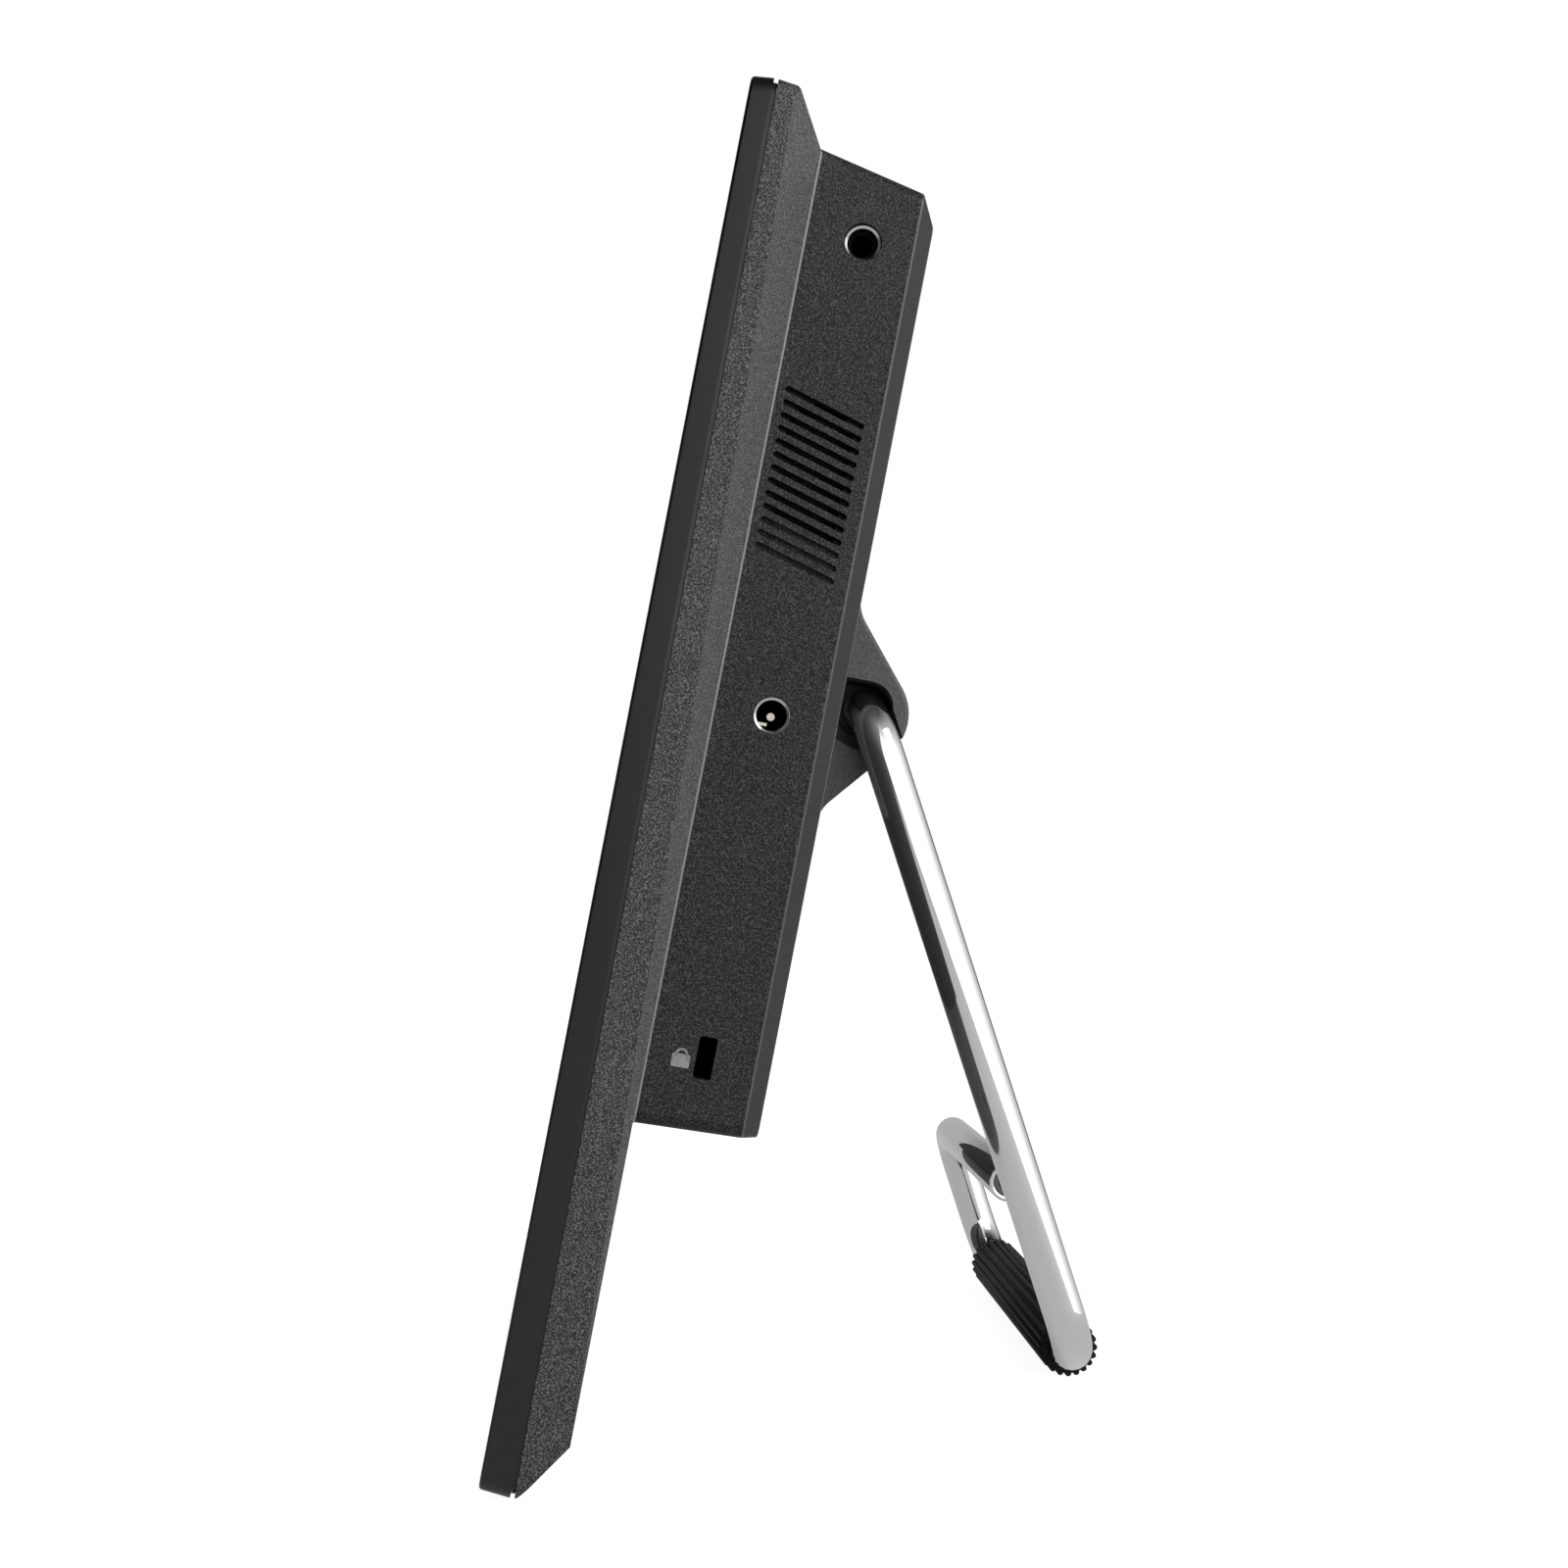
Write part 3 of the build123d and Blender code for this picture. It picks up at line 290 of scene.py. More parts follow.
@dataclass(frozen=True)
class SheetMetal(Finish):
    """Zinc-plated or rolled sheet: a fine spangle and rolling lines in a dull metal."""

    spangle: str = "a0a4a6"
    spangle_mm: float = 3.0
    line_mm: float = 0.25
    line_height_mm: float = 0.01

    def dress(self, tree: NodeTree, shader: Node) -> None:
        """Adds spangle in the tone and fine lines in the height."""
        shader.inputs["Metallic"].default_value = 1.0
        cells = add_node(tree, "TexVoronoi", values={"Scale": 1.0},
                         links={"Vector": self.place(tree, self.spangle_mm)})
        tone = add_ramp(tree, cells.outputs["Color"],
                        [(0.1, linear(self.base)), (0.9, linear(self.spangle))])
        tree.links.new(tone, shader.inputs["Base Color"])
        add_bump(tree, shader, self.noise(tree, self.line_mm, 2.0), self.line_height_mm, 0.3)


@dataclass(frozen=True)
class MouldedRubber(Finish):
    """Moulded rubber: matt, with a dusty bloom on the ribs and a fine tooth."""

    bloom: str = "343435"
    bloom_mm: float = 4.0
    tooth_mm: float = 0.35
    tooth_height_mm: float = 0.02
    specular: float = 0.22

    def dress(self, tree: NodeTree, shader: Node) -> None:
        """Adds bloom in the tone and tooth in the height."""
        tone = add_ramp(tree, self.noise(tree, self.bloom_mm, 4.0),
                        [(0.35, linear(self.base)), (0.75, linear(self.bloom))])
        tree.links.new(tone, shader.inputs["Base Color"])
        add_bump(tree, shader, self.noise(tree, self.tooth_mm, 2.0), self.tooth_height_mm, 0.6)
        shader.inputs["Specular IOR Level"].default_value = self.specular


@dataclass(frozen=True)
class PanelGlass(Finish):
    """Anti-glare screen panel: etched glass over a dark cell, inside a printed black border."""

    cell: str = "141619"
    half_size_mm: tuple[float, float] = (105.6, 79.2)
    centre_mm: float = 115.2
    etch_mm: float = 0.2
    etch_height_mm: float = 0.004
    to_case: Matrix = field(default_factory=Matrix)

    def within(self, tree: NodeTree, axis: NodeSocket, centre: float,
               reach: float) -> NodeSocket:
        """Tests whether a coordinate lies near a centre.

        Args:
            tree: the node tree.
            axis: the coordinate.
            centre: the middle of the band.
            reach: half the band's width.

        Returns:
            1 inside the band and 0 outside it.
        """
        away = add_node(tree, "Math", {"operation": "SUBTRACT"}, {1: centre}, {0: axis})
        size = add_node(tree, "Math", {"operation": "ABSOLUTE"}, links={0: away.outputs[0]})
        near = add_node(tree, "Math", {"operation": "LESS_THAN"}, {1: reach}, {0: size.outputs[0]})
        return near.outputs[0]

    def dress(self, tree: NodeTree, shader: Node) -> None:
        """Adds the active area in case coordinates, so it stays in the window's middle."""
        turn = self.to_case
        where = add_node(tree, "TexCoord")
        case = add_node(tree, "Mapping", {"vector_type": "POINT"},
                        {"Location": turn.to_translation(), "Rotation": turn.to_euler(),
                         "Scale": turn.to_scale()}, {"Vector": where.outputs["Object"]})
        axes = add_node(tree, "SeparateXYZ", links={0: case.outputs[0]})
        half_width, half_height = self.half_size_mm
        active = add_node(tree, "Math", {"operation": "MULTIPLY"}, links={
            0: self.within(tree, axes.outputs["X"], 0.0, half_width),
            1: self.within(tree, axes.outputs["Z"], self.centre_mm, half_height)})
        tone = add_ramp(tree, active.outputs[0],
                        [(0.0, linear(self.base)), (1.0, linear(self.cell))])
        tree.links.new(tone, shader.inputs["Base Color"])
        add_bump(tree, shader, self.noise(tree, self.etch_mm, 2.0), self.etch_height_mm, 0.25)


@dataclass(frozen=True)
class CircuitBoard(Finish):
    """Glass-epoxy board under solder mask, with copper tracks that show through as paler lines."""

    track: str = "2f7a44"
    cell_mm: float = 1 / 0.35
    track_height_mm: float = 0.03

    def dress(self, tree: NodeTree, shader: Node) -> None:
        """Adds tracks from a cell pattern, raised a little under the mask."""
        cells = add_node(tree, "TexVoronoi", {"feature": "DISTANCE_TO_EDGE"}, {"Scale": 1.0},
                         {"Vector": self.place(tree, self.cell_mm)})
        edge = cells.outputs["Distance"]
        tone = add_ramp(tree, edge, [(0.05, linear(self.track)), (0.09, linear(self.base))])
        tree.links.new(tone, shader.inputs["Base Color"])
        add_bump(tree, shader, edge, self.track_height_mm, 0.4, invert=True)


@dataclass(frozen=True)
class PrintedInk(Finish):
    """Pad-printed ink: thin and matt, a little broken by the grain that it was printed on."""

    grain_mm: float = 1 / 2.2
    worn_share: float = 0.55

    def dress(self, tree: NodeTree, shader: Node) -> None:
        """Adds a tone that drops where the ink missed the bottom of the grain."""
        red, green, blue, _ = linear(self.base)
        share = self.worn_share
        worn = (share * red, share * green, share * blue, 1.0)
        tone = add_ramp(tree, self.noise(tree, self.grain_mm, 3.0),
                        [(0.36, worn), (0.5, linear(self.base))])
        tree.links.new(tone, shader.inputs["Base Color"])


@dataclass(frozen=True)
class LitPaper(Finish):
    """Floor paper that the camera sees evenly lit, as on a studio table lit from below."""

    glow: float = 0.94
    mirrored_glow: float = 0.32

    def dress(self, tree: NodeTree, shader: Node) -> None:
        """Adds a glow for the camera and, weaker, for reflections: it lights nothing else."""
        seen = add_node(tree, "LightPath")
        mirrored = add_node(tree, "Math", {"operation": "MULTIPLY"}, {1: self.mirrored_glow},
                            {0: seen.outputs["Is Glossy Ray"]})
        glow = add_node(tree, "Math", {"operation": "MULTIPLY_ADD"}, {1: self.glow},
                        {0: seen.outputs["Is Camera Ray"], 2: mirrored.outputs[0]})
        shader.inputs["Emission Color"].default_value = grey(1.0)
        tree.links.new(glow.outputs[0], shader.inputs["Emission Strength"])


class Finishes:
    """The finishes of this frame, each named for what it is."""

    bezel = MouldedPlastic("abs_bezel_satin", "0e0e0f", 0.34, sheen_tip="131314", grain_mm=1.6,
        grain_height_mm=0.002, coat=0.12)
    wall = MouldedPlastic("abs_cover_spark_grain", "0e0e0f", 0.5, sheen_tip="828284", grain_mm=0.28,
        grain_height_mm=0.09)
    # Painted light: the slope is the same moulding as the wall and box, and its lighter grey stands
    # in for the light that falls on it; its shallower grain is its own.
    slope = MouldedPlastic("abs_slope_fine_grain_painted_light", "3c3c3d", 0.46, sheen_tip="7c7c7d", grain_mm=0.28,
        grain_height_mm=0.03)
    box = MouldedPlastic("abs_box_spark_grain", "040405", 0.5, sheen_tip="565657", grain_mm=0.3,
        grain_height_mm=0.08, specular=0.3)
    rim = MouldedPlastic("abs_rim_satin", "1f1f20", 0.45, sheen_tip="2e2e2f", grain_mm=0.3,
        grain_height_mm=0.006)
    back = MouldedPlastic("abs_back_fine_grain", "19191a", 0.5, sheen_tip="2b2b2c", grain_mm=0.35,
        grain_height_mm=0.02)
    # Painted highlights: the rounded rims and ridges take a light grey, and the rounded crease at
    # the box's foot a lighter one still, in place of the bright lines that light draws along them.
    painted_edge_highlight = MouldedPlastic("abs_edge_painted_highlight", "565657", 0.22, sheen_tip="606061", grain_mm=0.5,
        grain_height_mm=0.004)
    painted_crease_highlight = MouldedPlastic("abs_crease_painted_highlight", "8f8f90", 0.25, sheen_tip="9a9a9b",
        grain_mm=0.5, grain_height_mm=0.004)
    hump = MouldedPlastic("abs_hump_fine_grain", "4e4e4f", 0.5, sheen_tip="6c6c6d", grain_mm=0.36,
        grain_height_mm=0.015)
    button = MouldedPlastic("abs_button_matt", "1a1a1b", 0.42, sheen_tip="262627", grain_mm=0.35,
        grain_height_mm=0.01)
    socket = MouldedPlastic("socket_black_matt", "040404", 0.75, sheen_tip="070707", grain_mm=0.5,
        grain_height_mm=0.004, specular=0.1)
    connector = MouldedPlastic("nylon_connector_black", "121213", 0.5, sheen_tip="1c1c1d", grain_mm=0.5,
        grain_height_mm=0.01)
    cream = MouldedPlastic("acetal_natural", "d8d4c6", 0.4, sheen_tip="e2dfd4", grain_mm=0.8,
        grain_height_mm=0.005)
    cap = MouldedPlastic("nylon_cap_grey", "5c5d60", 0.45, sheen_tip="6e6f72", grain_mm=0.4,
        grain_height_mm=0.01)
    light_tray = MouldedPlastic("acrylic_light_tray", "d9dcdf", 0.3, sheen_tip="e6e8ea", grain_mm=2.0,
        grain_height_mm=0.003)
    flex = MouldedPlastic("polyimide_flex", "b4631c", 0.25, sheen_tip="c47428", grain_mm=1.2,
        grain_height_mm=0.004, coat=0.3)
    cone = MouldedPlastic("pressed_paper_cone", "2a2a2a", 0.8, sheen_tip="3a3a3a", grain_mm=0.5,
        grain_height_mm=0.04)
    chrome = PlatedMetal("chrome_plated_tube", "e4e5e7", 0.035, haze=0.03)
    nickel = PlatedMetal("nickel_plated_ring", "cfcfce", 0.14, haze_mm=1.5, haze=0.08)
    contact = PlatedMetal("tin_plated_contact", "b9b4a6", 0.25, haze_mm=1.5, haze=0.1)
    zinc = SheetMetal("zinc_plated_sheet", "8d9294", 0.38)
    aluminium = SheetMetal("drawn_aluminium_can", "b4b7ba", 0.3, spangle="c4c7ca", spangle_mm=1.2)
    screw = SheetMetal("black_zinc_screw", "2b2b2e", 0.35, spangle="3a3a3e", spangle_mm=0.8)
    rubber = MouldedRubber("rubber_sleeve_black", "0b0b0c", 0.62, bloom="181819")
    lead = MouldedRubber("pvc_lead_black", "1a1a1b", 0.45, bloom="222223")
    board = CircuitBoard("circuit_board_green", "12482a", 0.35)
    ink = PrintedInk("printed_ink_light_grey", "a2a3a5", 0.6)


# ---------------- places in the frame
@dataclass(frozen=True)
class CasePlace:
    """How the leaning case stands in the frame's space."""

    lean: float
    origin: Vector

    @classmethod
    def from_joints(cls, pivot_depth_mm: float, pivot_height_mm: float) -> "CasePlace":
        """Reads the lean and the case's origin off the frame's joints.

        Args:
            pivot_depth_mm: depth of the stand's pivot behind the front face.
            pivot_height_mm: height of the pivot above the bottom seam.

        Returns:
            The case's place.
        """
        joints = {joint["name"]: joint for joint in frame["joints"]}
        press = joints["menu_press"]["axis"]
        lean = math.atan2(press[2], -press[1])
        offset = Matrix.Rotation(-lean, 3, "X") @ Vector((0, pivot_depth_mm, pivot_height_mm)) * MM
        return cls(lean, Vector(joints["stand_fold"]["pos_m"]) - offset)

    def matrix(self) -> Matrix:
        """Places the case.

        Returns:
            The matrix from case millimetres to the frame's metres.
        """
        turn = Matrix.Rotation(-self.lean, 4, "X")
        return Matrix.Translation(self.origin) @ turn @ Matrix.Scale(MM, 4)


# ---------------- making pieces
def new_object(name: str, mesh_source: BMesh, place: Matrix) -> Object:
    """Turns a bmesh to an object at the origin, with its place in its mesh.

    Args:
        name: the piece's name.
        mesh_source: the bmesh, which is freed.
        place: matrix from the bmesh's space to the frame's.

    Returns:
        The new object.
    """
    bmesh.ops.transform(mesh_source, matrix=place, verts=mesh_source.verts)
    mesh = bpy.data.meshes.new(name)
    mesh_source.to_mesh(mesh)
    mesh_source.free()
    made = bpy.data.objects.new(name, mesh)
    bpy.context.scene.collection.objects.link(made)
    return made


def place_piece(piece: Object, body: str, finishes: Iterable[Finish],
                replaced: Sequence[str] = (), smooth_angle: float = 32.0) -> Object:
    """Args:
        piece: the object.
        body: the CAD body that it rides on.
        finishes: one finish for each material slot of the mesh.
        replaced: CAD nodes that it stands for.
        smooth_angle: edges sharper than this many degrees stay crisp.

    Returns:
        The same piece.
    """
    for finish in finishes:
        piece.data.materials.append(finish.material())
    piece.data.shade_smooth()
    piece.data.set_sharp_from_angle(angle=math.radians(smooth_angle))
    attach(piece, body)
    if replaced:
        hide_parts(*replaced)
    log.info("%s rides on %s", piece.name, body)
    return piece


def clean_copy(node: str, place: Matrix) -> BMesh:
    """A CAD node's mesh as clean faces, in a piece's own space.

    Args:
        node: the CAD node.
        place: matrix from the piece's space to the frame's.

    Returns:
        A bmesh with its loose triangles merged.
    """
    copy = bmesh.new()
    copy.from_mesh(frame["nodes"][node].data)
    bmesh.ops.remove_doubles(copy, verts=copy.verts, dist=MERGE_MM * MM)
    bmesh.ops.transform(copy, matrix=place.inverted(), verts=copy.verts)
    bmesh.ops.dissolve_limit(copy, angle_limit=math.radians(FLAT_DEG), verts=copy.verts,
                             edges=copy.edges, delimit={"NORMAL"})
    return copy


def only(items: Iterable[Any], kind: type) -> list:
    """Picks one kind of part out of what an operator returns.

    Args:
        items: mixed parts of a bmesh.
        kind: the type that is wanted.

    Returns:
        The parts of that type.
    """
    return [item for item in items if isinstance(item, kind)]


def soften(mesh: BMesh, radius: float, pick: Callable[[BMEdge], bool],
           finish_index: int = -1, least_angle: float = 14.0) -> int:
    """Rounds the edges that a test picks.

    Args:
        mesh: the bmesh to change.
        radius: size of the rounding, in the bmesh's units.
        pick: says whether an edge is rounded.
        finish_index: material slot of the rounding, or -1 for its neighbour's.
        least_angle: edges flatter than this many degrees are left.

    Returns:
        How many edges were rounded.
    """
    least = math.radians(least_angle)
    chosen = [edge for edge in mesh.edges
              if edge.is_manifold and edge.calc_face_angle(0.0) > least and pick(edge)]
    if chosen:
        bmesh.ops.bevel(mesh, geom=chosen, offset=radius, offset_type="OFFSET", affect="EDGES",
                        segments=2, profile=0.5, clamp_overlap=True, material=finish_index)
    return len(chosen)


def cut_away(piece: Object, cutter: Object) -> None:
    """Cuts one object's shape out of another for good, and removes the cutter.

    Args:
        piece: the object that is cut.
        cutter: the shape that is taken away.
    """
    modifier = piece.modifiers.new("cut", "BOOLEAN")
    modifier.object, modifier.operation, modifier.solver = cutter, "DIFFERENCE", "EXACT"
    bpy.context.view_layer.update()
    shaped = piece.evaluated_get(bpy.context.evaluated_depsgraph_get())
    piece.data = bpy.data.meshes.new_from_object(shaped)
    piece.modifiers.clear()
    bpy.data.objects.remove(cutter)


def lathe(profile: Sequence[tuple[float, float]], steps: int = 48) -> BMesh:
    """Spins an outline round the x axis.

    Args:
        profile: (x, radius) points of the outline, in order.
        steps: how many faces round the turn.

    Returns:
        A closed bmesh where the outline starts and ends on the axis, or is a closed loop.
    """
    mesh = bmesh.new()
    points = [mesh.verts.new((x, radius, 0)) for x, radius in profile]
    edges = [mesh.edges.new(pair) for pair in zip(points, points[1:])]
    if profile[0][1] > 0 and profile[-1][1] > 0:
        edges.append(mesh.edges.new((points[-1], points[0])))
    bmesh.ops.spin(mesh, geom=points + edges, cent=(0, 0, 0), axis=(1, 0, 0), angle=math.tau,
                   steps=steps, use_merge=True)
    bmesh.ops.remove_doubles(mesh, verts=mesh.verts, dist=MERGE_MM / 10)
    bmesh.ops.recalc_face_normals(mesh, faces=mesh.faces)
    return mesh


# ---------------- sub-assemblies
class Skin(IntEnum):
    """Parts of the housing that take different finishes, in the order of its materials."""

    WALL = 0
    SLOPE = 1
    # SLOPE takes a lighter grey that is painted light
    BOX = 2
    RIM = 3
    BACK = 4
    # EDGE and CREASE are the rounded edges, whose light greys are painted highlights
    EDGE = 5
    CREASE = 6


@dataclass
class CaseShell:
    """The bezel, the rear housing and the hinge cover: mouldings with softened edges."""

    place: Matrix
    panel_depth_mm: float = 13.1
    rim_depth_mm: float = 31.1
    back_depth_mm: float = 33.8
    half_width_mm: float = 143.0
    box_bottom_mm: float = 61.8
    box_top_mm: float = 223.0
    ridge_band_mm: float = 12.0
    ridge_from_mm: float = 5.5
    bezel_face_mm: float = 1.6
    bezel_edge_mm: float = 0.25
    rim_edge_mm: float = 0.35
    ridge_edge_mm: float = 0.3
    crease_mm: float = 0.45
    slot_depth_mm: float = 21.7
    slot_drop_mm: float = 41.45
    slot_pitch_mm: float = 2.14
    slot_length_mm: float = 14.2
    slot_width_mm: float = 1.0
    slot_tilt_deg: float = 15.0
    slot_floor_mm: float = 1.1
    slot_cut_mm: float = 3.0
    blind_slots: tuple[int, ...] = (10, 11, 12)

    def build(self) -> None:
        """Makes the three mouldings."""
        self.bezel()
        self.housing()
        self.hinge_cover()

    @staticmethod
    def even_shading(piece: Object) -> None:
        """Lets each flat face set the shading of the small round faces beside it.

        Args:
            piece: the moulding.
        """
        weight = piece.modifiers.new("face_weight", "WEIGHTED_NORMAL")
        weight.keep_sharp = True

    def bezel(self) -> None:
        """Front moulding: smooth, with a small radius round its face and its window."""
        mesh = clean_copy("front_bezel", self.place)
        shortest = 0.4
        soften(mesh, self.bezel_edge_mm, lambda edge: (
            self.middle(edge).y < self.bezel_face_mm and edge.calc_length() > shortest))
        piece = new_object("bezel_moulding", mesh, self.place)
        self.even_shading(piece)
        place_piece(piece, "frame", [Finishes.bezel], ["front_bezel"])

    @staticmethod
    def middle(edge: BMEdge) -> Vector:
        """Finds the middle of an edge.

        Args:
            edge: the edge.

        Returns:
            Its middle.
        """
        return (edge.verts[0].co + edge.verts[1].co) / 2

    def housing(self) -> None:
        """Rear moulding: its grain differs from wall to slope to box; the slope's lighter grey is
        painted light, and its rounded edges and crease carry painted highlights.
        """
        mesh = clean_copy("rear_housing", self.place)
        for face in mesh.faces:
            face.material_index = self.region(face)
        self.soften_housing(mesh)
        piece = new_object("housing_moulding", mesh, self.place)
        cut_away(piece, self.slot_cutter())
        self.even_shading(piece)
        finishes = [Finishes.wall, Finishes.slope, Finishes.box, Finishes.rim, Finishes.back,
                    Finishes.painted_edge_highlight, Finishes.painted_crease_highlight]
        place_piece(piece, "frame", finishes, ["rear_housing"])

    def slot_cutter(self) -> Object:
        """Makes a cutter for the vents that don't go through, which follows the drafted sides.

        Returns:
            The cutter, one bar for each of those vents on each side.
        """
        mesh = bmesh.new()
        reach = (self.slot_length_mm - self.slot_width_mm) / 2
        slope = SideDetails.side_slope
        across = SideDetails.side_x_mm + (SideDetails.depth_mm - self.slot_depth_mm) * slope
        tilt = Matrix.Rotation(-math.radians(self.slot_tilt_deg), 4, "Z")
        for side in (-1, 1):
            outward = Matrix(((0, 0, side), (1, 0, 0), (0, 1, 0))).to_4x4()
            draft = Matrix.Rotation(side * math.atan(slope), 4, "Z")
            for index in self.blind_slots:
                ring = bmesh.ops.create_circle(mesh, segments=16, cap_ends=True,
                                               radius=self.slot_width_mm / 2)["verts"]
                for vert in ring:
                    vert.co.x += math.copysign(reach, vert.co.x + MERGE_MM / 1000)
                faces = list({face for vert in ring for face in vert.link_faces})
                new = bmesh.ops.extrude_face_region(mesh, geom=faces)["geom"]
                top = only(new, BMVert)
                bmesh.ops.translate(mesh, verts=top, vec=(0, 0, self.slot_cut_mm))
                height = self.box_top_mm - self.slot_drop_mm - index * self.slot_pitch_mm
                spot = Matrix.Translation((side * across, self.slot_depth_mm, height))
                sink = Matrix.Translation((0, 0, -self.slot_floor_mm))
                bmesh.ops.transform(mesh, matrix=spot @ draft @ outward @ tilt @ sink,
                                    verts=ring + top)
        bmesh.ops.recalc_face_normals(mesh, faces=mesh.faces)
        for face in mesh.faces:
            face.material_index = Skin.BOX
        return new_object("blind_slot_cutter", mesh, self.place)

    def region(self, face: BMFace) -> Skin:
        """Tells which part of the housing a face belongs to.

        Args:
            face: a face of the housing.

        Returns:
            The part.
        """
        depth, turn = face.calc_center_median().y, abs(face.normal.y)
        slack, upright, square = 0.01, 0.2, 0.95
        if depth < self.panel_depth_mm + slack:
            return Skin.WALL if turn < upright else Skin.SLOPE
        if depth < self.rim_depth_mm - slack:
            return Skin.BOX
        return Skin.RIM if turn < square else Skin.BACK

    def soften_housing(self, mesh: BMesh) -> None:
        """Rounds the rear moulding's ridges, creases and rims, each by its own radius, and gives
        the roundings light greys as painted highlights.

        Args:
            mesh: the housing's mesh in case coordinates.
        """
        def at_depth(edge: BMEdge, depth: float) -> bool:
            near = 0.06
            return all(abs(vert.co.y - depth) < near for vert in edge.verts)

        def on_rim(edge: BMEdge) -> bool:
            return edge.is_convex and (at_depth(edge, self.rim_depth_mm)
                                       or at_depth(edge, self.back_depth_mm))

        def on_crease(edge: BMEdge) -> bool:
            height = self.middle(edge).z
            beside_box = self.box_bottom_mm - 1 < height < self.box_top_mm + 1
            return not edge.is_convex and at_depth(edge, self.panel_depth_mm) and beside_box

        def on_ridge(edge: BMEdge) -> bool:
            spot, band = self.middle(edge), self.ridge_band_mm
            outside = (abs(spot.x) > self.half_width_mm - band or spot.z < band
                       or spot.z > self.box_top_mm)
            regions = {face.material_index for face in edge.link_faces}
            return (regions == {Skin.WALL, Skin.SLOPE} and edge.calc_length() > 1.0
                    and edge.is_convex and outside and spot.y > self.ridge_from_mm)

        # painted highlights: rims and ridges take the light edge grey, the crease the lighter
        # crease grey
        for radius, pick, skin in ((self.rim_edge_mm, on_rim, Skin.EDGE),
                                   (self.crease_mm, on_crease, Skin.CREASE),
                                   (self.ridge_edge_mm, on_ridge, Skin.EDGE)):
            log.info("%s rounded %d edges", pick.__name__, soften(mesh, radius, pick, skin))

    def hinge_cover(self) -> None:
        """The hump on the back, finely grained."""
        piece = new_object("hinge_hump_moulding", clean_copy("hinge_cover", self.place), self.place)
        self.even_shading(piece)
        place_piece(piece, "frame", [Finishes.hump], ["hinge_cover"])


